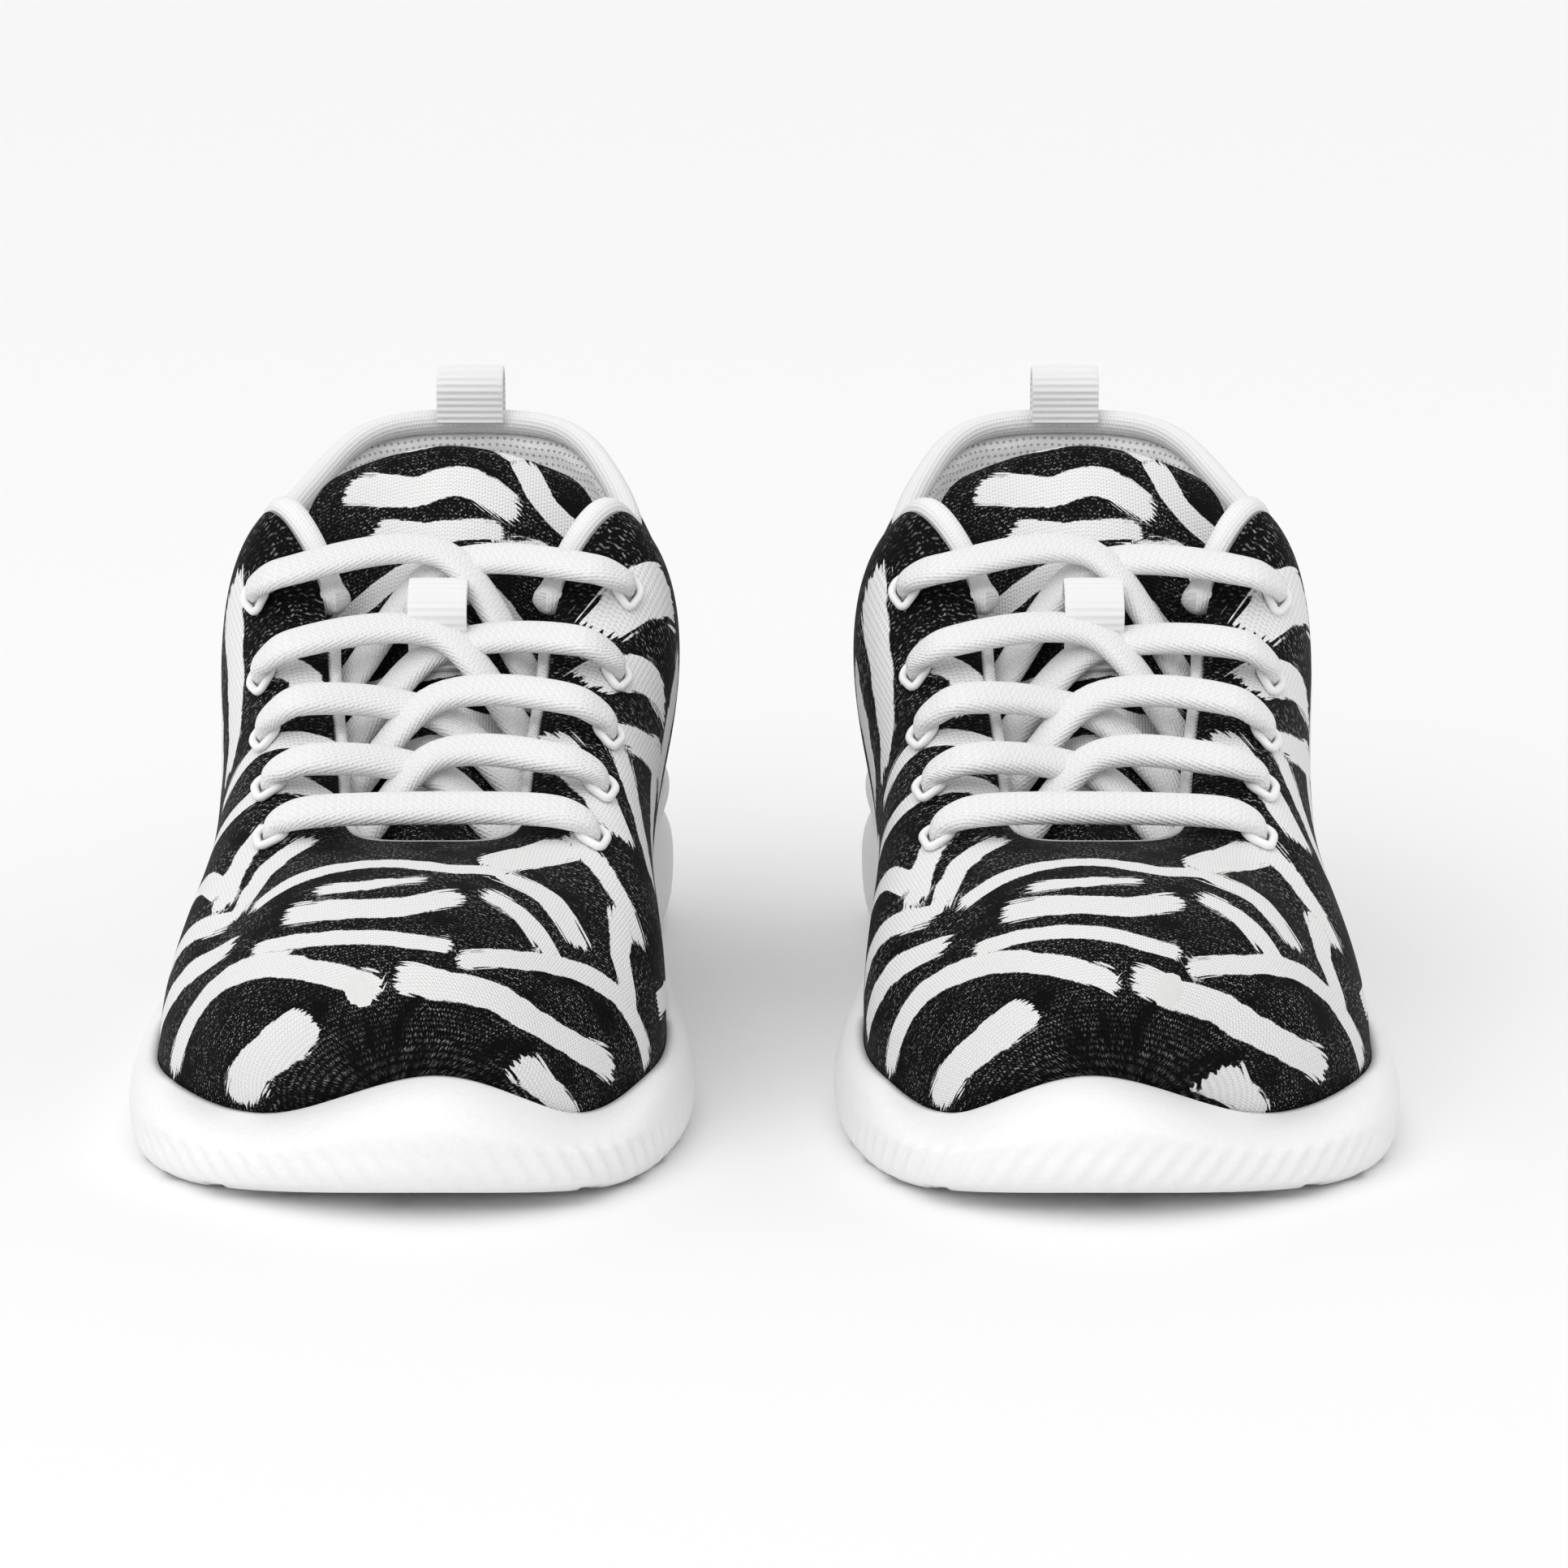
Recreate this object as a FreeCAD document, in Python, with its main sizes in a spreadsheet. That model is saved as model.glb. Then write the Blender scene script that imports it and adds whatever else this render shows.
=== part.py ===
import FreeCAD, Part
import math
import os

# A pair of low lace-up cheer shoes, millimetres. +Z is up and the toes point to -Y.
# The origin is on the ground, midway between the shoes and midway along their length.
# The wearer's right shoe is modelled at -X, and the left one is its mirror image.
# Inside one shoe x is measured from its centre line: plus is the inner (medial) side.

V = FreeCAD.Vector
doc = FreeCAD.newDocument("cheer_shoes")

DIMENSIONS = {
    "shoe_spacing": 127.0,       # between the centre lines of the two shoes
    "forefoot_lean": 2.2,
    "ground_start": -95.0,       # y where the toe spring begins
    "toe_spring": 6.5,           # how far the toe tip stands off the ground
    "heel_spring": 3.0,
    "rim_width": 1.6,            # visible top edge of the sole round the upper
    "knit_thickness": 1.6,
    "stiffener_thickness": 0.8,
    "lining_thickness": 0.7,
    "collar_foam_thickness": 3.2,
    "layer_gap": 0.2,           # glue line between two layers
    "board_thickness": 1.5,
    "sockliner_thickness": 4.0,
    "binding_radius": 2.5,
    "piping_radius": 1.3,
    "eyelet_hole_radius": 1.95,
    "eyelet_ring_radius": 2.85,  # centre line of the rounded outer ring
    "eyelet_wire_radius": 0.85,
    "eyelet_barrel_length": 3.4,
    "lace_radius": 1.8,
    "aglet_length": 20.0,
    "keeper_width": 11.5,
    "keeper_length": 20.0,
    "keeper_clearance": 9.6,     # from the tongue to the underside of the bridge
    "tab_width": 14.2,
    "tab_depth": 10.0,
    "tab_height": 11.0,
    "webbing_thickness": 1.3,
    "tread_depth": 2.2,
}

sheet = doc.addObject("Spreadsheet::Sheet", "Dimensions")
for row, (name, value) in enumerate(DIMENSIONS.items(), start=1):
    sheet.set(f"A{row}", name)
    sheet.set(f"B{row}", str(value))
    sheet.setAlias(f"B{row}", name)
doc.recompute()


def size(name):
    return float(sheet.get(name))


HALF_SPACING = size("shoe_spacing") / 2
GAP = size("layer_gap")

# One row for each cross-section from the toe round the medial side to the heel.
# outline: widest line of the sole. flare: how much further out the lateral side stands.
# foot, bulge, shoulder, edge: the four poles of the upper's cross-section, from the
# line where it leaves the sole to the edge of its opening.
STATIONS = [
    ((5, -135), 0.0, (7, -124, 24.3), (3, -132, 45), (0, -97, 56), (0, -58, 51)),
    ((30, -125), -8.0, (28.5, -113, 14.8), (28.5, -119, 37), (21, -92, 53.5), (12, -56, 51)),
    ((43.5, -104), 0.0, (40.5, -96, 15.2), (40, -98, 35), (31, -78, 50), (17, -46, 53)),
    ((49.5, -77), 1.5, (45, -75, 15.8), (46, -76, 37), (37, -60, 51.5), (18.5, -31.5, 59.5)),
    ((49, -50), 2.5, (44.5, -50, 17.5), (45.5, -50, 40), (38.5, -42, 58.5), (20, -17, 66.7)),
    ((44.5, -24), 4.0, (41.5, -24, 19.5), (43.5, -25, 44), (41, -21, 67), (21.5, -1.5, 75)),
    ((40.5, 0), 4.5, (39, 0, 22.5), (44.5, -1, 48), (45.5, 2, 78.5), (24, 14.5, 86.5)),
    ((38.5, 22), 4.5, (37.5, 22, 25.5), (45.5, 22, 50), (52, 25, 85), (33.5, 27.5, 98.5)),
    ((38.5, 45), 3.0, (37.5, 45, 28.5), (46.5, 45, 50), (50, 46, 80), (38.5, 45, 93)),
    ((40.5, 70), 1.0, (39, 70, 31.5), (47, 71, 50), (45.5, 72, 78), (37.5, 70, 91.5)),
    ((42.5, 96), 0.0, (39.5, 95, 34.5), (45.5, 99, 52), (39.5, 100, 78), (32, 96, 96)),
    ((32, 123), 0.0, (28, 119, 36.5), (31, 128, 56), (25, 123, 82), (21, 114.5, 102)),
    ((0, 135.5), 0.0, (0, 128, 37), (0, 139, 60), (0, 131, 84), (0, 122.5, 103)),
]
COUNT = 2 * (len(STATIONS) - 1)
HEEL = COUNT // 2
# share of the flare, and of the forefoot's lean towards the medial side, in each column
COLUMNS = {"outline": (0, 1.0, 0.0), "foot": (2, 1.0, 0.0), "bulge": (3, -0.3, 0.0),
           "shoulder": (4, -0.6, 1.0), "edge": (5, 0.0, 1.0)}


def lean(y):
    """How far the middle of the instep lies towards the medial side."""
    return size("forefoot_lean") * min(1.0, max(0.0, (10 - y) / 60))


def closed_loop(name):
    """Closed spline of one column, the medial side first, then the flared lateral side."""
    column, flare_share, lean_share = COLUMNS[name]

    def point(row, sign, flare):
        x, y, *height = row[column]
        return V(sign * x - flare * flare_share + lean(y) * lean_share, y, *height)
    medial = [point(row, 1, 0) for row in STATIONS]
    lateral = [point(row, -1, row[1]) for row in reversed(STATIONS[1:-1])]
    curve = Part.BSplineCurve()
    curve.interpolate(Points=medial + lateral, PeriodicFlag=True,
                      Parameters=[float(i) for i in range(COUNT + 1)])
    return curve


OUTLINE, FOOT, BULGE, SHOULDER, EDGE = (closed_loop(name) for name in COLUMNS)
SKIRT = -0.2      # v of the upper's hidden bottom edge, inside the sole's rim


HEEL_CURL = 105.0     # y behind which the underside curls up


def ground(y):
    """Height of the sole's underside."""
    toe = max(0.0, size("ground_start") - y) / (135 + size("ground_start"))
    heel = max(0.0, y - HEEL_CURL) / 30
    return size("toe_spring") * toe ** 2 + size("heel_spring") * heel ** 2


FLOOR_LOW, FLOOR_RISE = 9.5, 12.5     # under the ball of the foot, and up to the heel


def floor(y):
    """Height of the floor inside the sole, lower under the ball than under the heel."""
    rise = min(1.0, max(0.0, (y + 60) / 120))
    return FLOOR_LOW + FLOOR_RISE * rise * rise * (3 - 2 * rise) + 0.5 * ground(y)


def upper_point(t, v):
    """Outer face of the upper. v is 0 where it leaves the sole and 1 at the opening."""
    poles = [loop.value(t % COUNT) for loop in (FOOT, BULGE, SHOULDER, EDGE)]
    if v < 0:
        down = (poles[1] - poles[0]) * (-1 / (poles[1].z - poles[0].z))
        depth = 0
        for _ in range(4):
            depth = poles[0].z - floor(poles[0].y + down.y * depth) - 0.4
        return poles[0] + down * (v / SKIRT * depth)
    share = (1 - v) ** 3, 3 * v * (1 - v) ** 2, 3 * v * v * (1 - v), v ** 3
    total = V()
    for pole, weight in zip(poles, share):
        total += pole * weight
    return total


def upper_normal(t, v):
    small = 0.02
    along = upper_point(t + small, v) - upper_point(t - small, v)
    up = upper_point(t, min(1, v + small)) - upper_point(t, v - small)
    return along.cross(up).normalize()


def layer_point(t, v, depth):
    """A point that lies depth under the outer face of the upper."""
    return upper_point(t, v) - upper_normal(t, v) * depth


def skin(table, closed):
    """Smooth surface through rows of points. closed: the last row meets the first one."""
    columns = []
    for points in table:
        curve = Part.BSplineCurve()
        curve.interpolate(Points=points, Parameters=[float(i) for i in range(len(points))])
        columns.append(curve)
    rows = []
    steps = [float(i) for i in range(len(table) + closed)]
    for index in range(1, columns[0].NbPoles + 1):
        curve = Part.BSplineCurve()
        curve.interpolate(Points=[column.getPole(index) for column in columns],
                          PeriodicFlag=closed, Parameters=steps)
        rows.append(curve)
    poles = [[row.getPole(i) for row in rows] for i in range(1, rows[0].NbPoles + 1)]
    surface = Part.BSplineSurface()
    surface.buildFromPolesMultsKnots(
        poles, rows[0].getMultiplicities(), columns[0].getMultiplicities(),
        rows[0].getKnots(), columns[0].getKnots(), closed, False,
        rows[0].Degree, columns[0].Degree)
    return surface


def closed_solid(faces):
    solid = Part.makeSolid(Part.makeShell(faces))
    if solid.Volume < 0:
        solid.reverse()
    return solid


def strip(first, second):
    """Ruled surface between two splines that share their knots."""
    surface = Part.BSplineSurface()
    surface.buildFromPolesMultsKnots(
        [list(pair) for pair in zip(first.getPoles(), second.getPoles())],
        first.getMultiplicities(), [2, 2], first.getKnots(), [0, 1],
        first.isPeriodic(), False, first.Degree, 1)
    return surface.toShape()


def between(outer, inner, closed):
    """Solid between two skins that share their parameters."""
    u0, u1, v0, v1 = outer.bounds()
    sides = [strip(outer.vIso(v), inner.vIso(v)) for v in (v0, v1)]
    if not closed:
        sides += [strip(outer.uIso(u), inner.uIso(u)) for u in (u0, u1)]
    return closed_solid([outer.toShape(), inner.toShape()] + sides)


def spread(start, end, steps):
    return [start + (end - start) * i / steps for i in range(steps + 1)]


def layer(start, end, low, high, depth, thickness, steps=(12, 6)):
    """A patch of one layer of the shoe: start to end round the foot, low to high up it."""
    skins = []
    for level in (depth, depth + thickness):
        table = [[layer_point(t, v, level) for v in spread(low(t), high(t), steps[1])]
                 for t in spread(start, end, steps[0])]
        skins.append(skin(table, False))
    return between(skins[0], skins[1], False)


def ring_layer(low, high, depth, thickness, steps=(48, 9)):
    """A layer that goes all the way round the foot."""
    skins = []
    for level in (depth, depth + thickness):
        table = [[layer_point(COUNT * i / steps[0], v, level)
                  for v in spread(low, high, steps[1])] for i in range(steps[0])]
        skins.append(skin(table, True))
    return between(skins[0], skins[1], True)



# ---------------------------------------------------------------- shared helpers

def profile_slab(low, high, start=-145, end=145, half_width=80):
    """Block that is wide in x, between two heights given as functions of y."""
    steps = spread(start, end, 40)

    def edge(height):
        curve = Part.BSplineCurve()
        curve.interpolate([V(-half_width, y, height(y)) for y in steps])
        return curve.toShape()
    top, bottom = edge(high), edge(low)
    ends = [Part.makeLine(bottom.valueAt(bottom.FirstParameter), top.valueAt(top.FirstParameter)),
            Part.makeLine(bottom.valueAt(bottom.LastParameter), top.valueAt(top.LastParameter))]
    face = Part.Face(Part.Wire(Part.sortEdges([bottom, top] + ends)[0]))
    solid = face.extrude(V(2 * half_width, 0, 0))
    return solid


def plan_prism(depth, low=-20, high=80, v=SKIRT):
    """Upright prism with the plan of the upper's foot, depth inside its outer face."""
    points = []
    for i in range(2 * COUNT):
        p = layer_point(i / 2, v, depth)
        points.append(V(p.x, p.y, low))
    curve = Part.BSplineCurve()
    curve.interpolate(Points=points, PeriodicFlag=True)
    return Part.Face(Part.Wire(curve.toShape())).extrude(V(0, 0, high - low))


# ---------------------------------------------------------------- sole unit

UNDERSIDE = -8.0      # height of the raw block before the ground profile is cut
BLOCK = 20.0          # more than the depth of anything below the ground plane


def plan_normal(loop, t):
    """Outward direction, level with the ground."""
    tangent = loop.tangent(t % COUNT)[0]
    return V(tangent.y, -tangent.x, 0).normalize()


def wall_point(t, w):
    """Outer wall of the sole: w is 0 at the underside and 1 at the rim."""
    line = OUTLINE.value(t % COUNT)
    out = plan_normal(OUTLINE, t)
    rim = FOOT.value(t % COUNT) + plan_normal(FOOT, t) * size("rim_width")
    heel = math.exp(-((t - HEEL) / 3.2) ** 2)
    lift = ground(line.y)
    tall = rim.z - lift
    shoulder = line * 0.45 + rim * 0.55 + out * 1.2
    poles = [
        (line - out * 5.5, UNDERSIDE),
        (line - out * 5.0, lift - 1.0),
        (line - out * 0.2, lift + 0.03 * tall),
        (line + out * 0.9, lift + 0.33 * tall),
        (line + out * 0.9, lift + 0.62 * tall),
        (line - out * 4.2 * heel + out * 0.3 * (1 - heel), lift + (0.70 + 0.05 * heel) * tall),
        (shoulder + out * 0.6 * heel, lift + 0.90 * tall),
        (rim + out * 0.7, rim.z - 0.2),
        (rim, rim.z),
    ]
    points = [V(p.x, p.y, z) for p, z in poles]
    return clamped_point(points, w)


def clamped_point(poles, w):
    """Point on the clamped uniform cubic B-spline of the given poles, w from 0 to 1."""
    spans = len(poles) - 3
    knots = [0] * 3 + list(range(spans + 1)) + [spans] * 3
    u = min(w * spans, spans - 1e-9)
    k = int(u) + 3
    work = [poles[k - 3 + i] for i in range(4)]
    for level in range(1, 4):
        for i in range(3, level - 1, -1):
            low = knots[k - 3 + i]
            high = knots[k + 1 + i - level]
            share = (u - low) / (high - low)
            work[i] = work[i - 1] * (1 - share) + work[i] * share
    return work[3]


def sole_ring():
    """The sole's wall, closed round the foot, with the upper's foot as its inner face."""
    wall = []
    inside = []
    for i in range(2 * COUNT):
        t = i / 2
        wall.append([wall_point(t, w / 14) for w in range(15)])
        inside.append([layer_point(t, SKIRT * (1 - v / 4), -GAP) for v in range(5)])
    below = [[V(points[0].x, points[0].y, UNDERSIDE + z * (points[0].z - UNDERSIDE) / 3)
              for z in range(4)] for points in inside]
    outer, inner, low = skin(wall, True), skin(inside, True), skin(below, True)
    sides = [strip(outer.vIso(outer.bounds()[3]), inner.vIso(inner.bounds()[3])),
             strip(outer.vIso(outer.bounds()[2]), low.vIso(low.bounds()[2]))]
    return closed_solid([outer.toShape(), inner.toShape(), low.toShape()] + sides)


GROOVE_PITCH, GROOVE_WIDTH, GROOVE_TURN = 12, 3.2, 7
PLAIN_WAIST = (-6, 30)                      # y range that has no cross grooves
CENTRE_GROOVES = ((-120, -24), (46, 116))   # y ranges of the groove along the middle
CENTRE_WIDTH = 4.0


def tread_grooves():
    """Cross grooves of the tread, one at each step along the sole, and a centre groove."""
    tall = size("tread_depth") + BLOCK
    wide = 140
    grooves = []
    for y in range(-116, 125, GROOVE_PITCH):
        if PLAIN_WAIST[0] < y < PLAIN_WAIST[1]:
            continue
        corner = V(-wide / 2, y - GROOVE_WIDTH / 2, -BLOCK)
        box = Part.makeBox(wide, GROOVE_WIDTH, tall, corner)
        box.rotate(V(0, y, 0), V(0, 0, 1), GROOVE_TURN if y < 0 else -GROOVE_TURN)
        grooves.append(box)
    for start, end in CENTRE_GROOVES:
        corner = V(-CENTRE_WIDTH / 2, start, -BLOCK)
        grooves.append(Part.makeBox(CENTRE_WIDTH, end - start, tall, corner))
    return Part.makeCompound(grooves)


def sole_unit():
    ring = sole_ring()
    core = plan_prism(-2.0, UNDERSIDE, 60).common(
        profile_slab(lambda y: UNDERSIDE, floor))
    raw = ring.fuse(core)
    cut = raw.cut(Part.makeBox(160, 300, BLOCK, V(-80, -150, -BLOCK)))
    for start, end in ((-145, size("ground_start")), (HEEL_CURL, 145)):
        cut = cut.cut(profile_slab(lambda y: UNDERSIDE - BLOCK, ground, start, end))
    return cut.cut(tread_grooves())


# ---------------------------------------------------------------- layers of the upper

KNIT = size("knit_thickness")
STIFF = size("stiffener_thickness")
LINING = size("lining_thickness")
STIFF_DEPTH = KNIT + GAP
LINING_DEPTH = STIFF_DEPTH + STIFF + GAP
INSIDE = LINING_DEPTH + LINING        # inner face of the lining, without collar foam
# eyelet centres: distance from the middle of the instep, and y
EYELET_ROWS = [(29.4, -55), (30.8, -38), (32.2, -20.5), (33.8, -2.5), (36.0, 15.5)]


def smooth(value):
    value = min(1.0, max(0.0, value))
    return value * value * (3 - 2 * value)


def foam_depth(v):
    """Thickness of the collar padding: none low on the heel, full near the top."""
    return size("collar_foam_thickness") * smooth((v - 0.35) / 0.25) * (1 - 0.5 * smooth((v - 0.85) / 0.12))


def place_above(x, y, t, v):
    """Station and height of the upper's outer face at x and y, starting near t and v."""
    for _ in range(12):
        here = upper_point(t, v)
        by_t = (upper_point(t + 0.01, v) - here) * 100
        by_v = (upper_point(t, v + 0.005) - here) * 200
        det = by_t.x * by_v.y - by_t.y * by_v.x
        dx, dy = x - here.x, y - here.y
        t += (dx * by_v.y - dy * by_v.x) / det
        v += (dy * by_t.x - dx * by_t.y) / det
    return t, v


def eyelet_place(side, row):
    """Station, height, centre on the outer face and outward direction of an eyelet."""
    reach, y = EYELET_ROWS[row]
    guess = 2.2 + row
    t, v = place_above(lean(y) + side * reach, y, guess if side > 0 else COUNT - guess, 0.82)
    return t, v, upper_point(t, v), upper_normal(t, v)


EYELETS = {(side, row): eyelet_place(side, row) for side in (1, -1) for row in range(5)}


def with_eyelet_holes(shape, clearance=0.6):
    for t, v, centre, out in EYELETS.values():
        radius = size("eyelet_hole_radius") + clearance
        shape = shape.cut(Part.makeCylinder(radius, 14, centre - out * 9, out))
    return shape


def upper():
    return with_eyelet_holes(ring_layer(SKIRT, 1.0, 0, KNIT))


def toe_puff():
    return layer(-1.8, 1.8, lambda t: 0.0, lambda t: 0.42, STIFF_DEPTH, STIFF)


def heel_counter():
    def top(t):
        return 0.30 + 0.22 * math.cos((t - HEEL) / 3.4 * math.pi / 2)
    return layer(HEEL - 3.4, HEEL + 3.4, lambda t: -0.05, top, STIFF_DEPTH, STIFF)


def eyestay_backing():
    patch = layer(-6.4, 6.4, lambda t: 0.74, lambda t: 0.985, STIFF_DEPTH, STIFF, (36, 5))
    return with_eyelet_holes(patch)


def vamp_lining():
    patch = layer(-6.7, 6.7, lambda t: -0.05, lambda t: 0.985, LINING_DEPTH, LINING, (40, 8))
    return with_eyelet_holes(patch, 0.9)


def collar_patch(start, end, low, high, near, far, steps):
    """A patch whose faces lie near(v) and far(v) under the upper's outer face."""
    skins = []
    for depth in (near, far):
        table = [[layer_point(t, v, depth(v)) for v in spread(low, high, steps[1])]
                 for t in spread(start, end, steps[0])]
        skins.append(skin(table, False))
    return between(skins[0], skins[1], False)


def collar_foam():
    return collar_patch(7.6, COUNT - 7.6, 0.43, 0.95, lambda v: LINING_DEPTH,
                        lambda v: LINING_DEPTH + foam_depth(v), (28, 9))


def collar_lining():
    near = LINING_DEPTH + GAP
    return collar_patch(6.85, COUNT - 6.85, -0.05, 0.97, lambda v: near + foam_depth(v),
                        lambda v: near + foam_depth(v) + LINING, (30, 12))


# ---------------------------------------------------------------- rolls along the opening

def tube(path, radius, around=10):
    """Round roll along closely spaced points, with flat ends."""
    count = len(path)
    tangents = [(path[min(i + 1, count - 1)] - path[max(i - 1, 0)]).normalize()
                for i in range(count)]
    side = tangents[0].cross(V(0, 0, 1)).normalize()
    rings = []
    for point, along in zip(path, tangents):
        side = (side - along * side.dot(along)).normalize()
        over = along.cross(side)
        rings.append([point + (side * math.cos(a) + over * math.sin(a)) * radius
                      for a in (2 * math.pi * i / around for i in range(around))])
    surface = skin([[ring[i] for ring in rings] for i in range(around)], True)
    v0, v1 = surface.bounds()[2:]
    ends = [Part.Face(Part.Wire(surface.vIso(v).toShape())) for v in (v0, v1)]
    return closed_solid([surface.toShape()] + ends)


def edge_path(start, end, steps, beyond, depth):
    """Points that follow the edge of the opening, beyond it and depth under its face."""
    path = []
    for t in spread(start, end, steps):
        edge = layer_point(t, 1, depth)
        along = (layer_point(t + 0.02, 1, depth) - layer_point(t - 0.02, 1, depth)).normalize()
        up = edge - layer_point(t, 0.97, depth)
        path.append(edge + (up - along * up.dot(along)).normalize() * beyond)
    return path


def collar_binding():
    radius = size("binding_radius")
    return tube(edge_path(5.75, COUNT - 5.75, 56, radius + 0.15, 2.4), radius)


def throat_piping():
    radius = size("piping_radius")
    return tube(edge_path(-5.45, 5.45, 44, radius + 0.15, 1.6), radius)


# ---------------------------------------------------------------- insole pieces

def insole_slab(start_height, thickness, inset):
    low = start_height
    slab = profile_slab(lambda y: floor(y) + low, lambda y: floor(y) + low + thickness)
    return plan_prism(inset).common(slab)


def lasting_board():
    return insole_slab(GAP, size("board_thickness"), KNIT + 0.3)


def sockliner():
    lift = 2 * GAP + size("board_thickness")
    return insole_slab(lift, size("sockliner_thickness"), INSIDE + 1.3)


# ---------------------------------------------------------------- tongue

# centre line of the tongue's outer face: y, z, half width and how far its sides drop
TONGUE_STATIONS = [
    (-67, 44.5, 17.0, 4.5),
    (-52, 48.0, 20.0, 11.0),
    (-34, 54.7, 23.5, 15.0),
    (-16, 62.8, 26.0, 16.0),
    (2, 72.4, 27.5, 17.0),
    (20, 85.5, 29.0, 17.0),
    (35, 98.5, 30.5, 16.0),
    (45, 106.5, 28.5, 12.5),
    (50, 109.0, 22.0, 8.0),
]
TONGUE_SPAN = len(TONGUE_STATIONS) - 1
TONGUE_LAYERS = {"tongue_panel": 1.2, "tongue_foam": 4.2, "tongue_lining": 0.8}
TONGUE_GAP = 0.25
TONGUE_TOP = 6.5      # station above which the layers keep one direction


def open_spline(values):
    curve = Part.BSplineCurve()
    curve.interpolate(Points=values, Parameters=[float(i) for i in range(len(values))])
    return curve


TONGUE_LINE = open_spline([V(0, y, z) for y, z, width, drop in TONGUE_STATIONS])
TONGUE_FORM = open_spline([V(i, width, drop)
                           for i, (y, z, width, drop) in enumerate(TONGUE_STATIONS)])


def tongue_frame(s):
    """Centre of the tongue at station s, its lengthways direction and its outward one."""
    centre = TONGUE_LINE.value(s)
    along = TONGUE_LINE.tangent(min(s, TONGUE_TOP))[0]
    return centre, along, V(0, -along.z, along.y)


def tongue_point(s, across, depth):
    """across runs from -1 to 1 over the width."""
    centre, along, out = tongue_frame(s)
    form = TONGUE_FORM.value(s)
    fall = form.z * abs(across) ** 1.7
    x = lean(centre.y) + form.y * across
    return V(x, centre.y, centre.z) - out * (fall + depth * (1 - 0.35 * across * across))


def tongue_layer(start, thickness):
    skins = []
    for depth in (start, start + thickness):
        table = [[tongue_point(s, a, depth) for a in spread(-1, 1, 12)]
                 for s in spread(0, TONGUE_SPAN, 2 * TONGUE_SPAN)]
        skins.append(skin(table, False))
    return between(skins[0], skins[1], False)


# ---------------------------------------------------------------- lace

LACE = size("lace_radius")


def rounded_path(points):
    """Straight runs joined by tangent arcs, as large as the runs beside them allow."""
    edges = []
    last = points[0]
    for before, corner, after in zip(points, points[1:], points[2:]):
        back = before - corner
        ahead = after - corner
        turn = math.pi - back.getAngle(ahead)
        reach = 0.45 * min(back.Length, ahead.Length)
        radius = reach / math.tan(turn / 2)
        start = corner + back.normalize() * reach
        end = corner + ahead.normalize() * reach
        bow = (back + ahead).normalize()
        centre = corner + bow * (radius / math.cos(turn / 2))
        middle = centre - bow * radius
        edges.append(Part.LineSegment(last, start).toShape())
        edges.append(Part.Arc(start, middle, end).toShape())
        last = end
    edges.append(Part.LineSegment(last, points[-1]).toShape())
    return Part.Wire(edges)


def crossing(row, over):
    """Where two lace runs cross above the tongue, between row and the next one."""
    middle = (EYELETS[1, row][2] + EYELETS[1, row + 1][2]) * 0.5
    s = min((i / 40 for i in range(40 * TONGUE_SPAN)),
            key=lambda s: abs(TONGUE_LINE.value(s).y - middle.y - 3))
    centre, along, out = tongue_frame(s)
    lift = LACE + 1.3 + (2 * LACE + 0.3) * over
    return centre + V(lean(centre.y), 0, 0) + out * lift


OVER_SIDES = (-1, -1, 1, 1)    # where the run on top at each crossing comes from


def lace_route(shoe_side):
    """Points of the whole lace, from one tucked end to the other."""
    def through(side, row):
        """Into an eyelet from the outside, then in below the upper."""
        t, v, centre, out = EYELETS[side, row]
        inward = V(-side, 0, 0)
        inward = (inward - out * inward.dot(out)).normalize()
        return [centre + out * (LACE + 2.5) + inward * 4.2,
                centre + out * (LACE + 2.3),
                centre - out * (INSIDE + LACE + 1.2)]

    def tucked(side):
        """The free end, tucked down between the tongue and the quarter."""
        t, v, centre, out = EYELETS[side, 4]
        start = centre - out * (INSIDE + LACE + 1.2)
        return [start + V(2 * side, 8, -7), start + V(3 * side, 17, -17)]

    def climb(side, row):
        """From below an eyelet, out under the throat's edge and across to the next row."""
        t = 1.75 + row if side > 0 else COUNT - 1.75 - row
        edge = layer_point(t, 1, 0)
        out = upper_normal(t, 0.98)
        over = side == OVER_SIDES[row] * shoe_side
        return [edge - out * (INSIDE + LACE + 2.2), crossing(row, over)]

    half = {}
    for side in (1, -1):
        points = list(through(side, 0))
        here = side
        for row in range(4):
            points += climb(here, row)
            here = -here
            points += through(here, row + 1)
        half[side] = points + tucked(here)
    return list(reversed(half[-1])) + half[1]


def lace(shoe_side):
    route = lace_route(shoe_side)
    path = rounded_path(route)
    ring = Part.makeCircle(LACE, route[0], (route[1] - route[0]).normalize())
    solid = path.makePipeShell([Part.Wire(ring)], True, False)
    expected = path.Length * math.pi * LACE ** 2
    print("lace volume", round(solid.Volume), "of", round(expected))
    return solid


def aglets(shoe_side):
    """The hard tips, which carry on in line from the lace's two ends."""
    route = lace_route(shoe_side)
    tips = []
    for end, before in ((route[0], route[1]), (route[-1], route[-2])):
        ahead = (end - before).normalize()
        tips.append(Part.makeCylinder(LACE - 0.1, size("aglet_length"), end, ahead))
    return Part.makeCompound(tips)


# ---------------------------------------------------------------- document

PIECES = {}           # node name -> document object
IN_PLACE = FreeCAD.Placement(V(-HALF_SPACING, 0, 0), FreeCAD.Rotation())


def add_piece(name, item, placement=FreeCAD.Placement()):
    item.Label = name
    item.Placement = placement
    PIECES[name] = item
    return item


def shaped(name, shape):
    """A piece of the right shoe whose free-form shape is made by a function above."""
    item = doc.addObject("Part::Feature", f"right_{name}")
    item.Shape = shape
    return add_piece(f"right_{name}", item, IN_PLACE)


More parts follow.
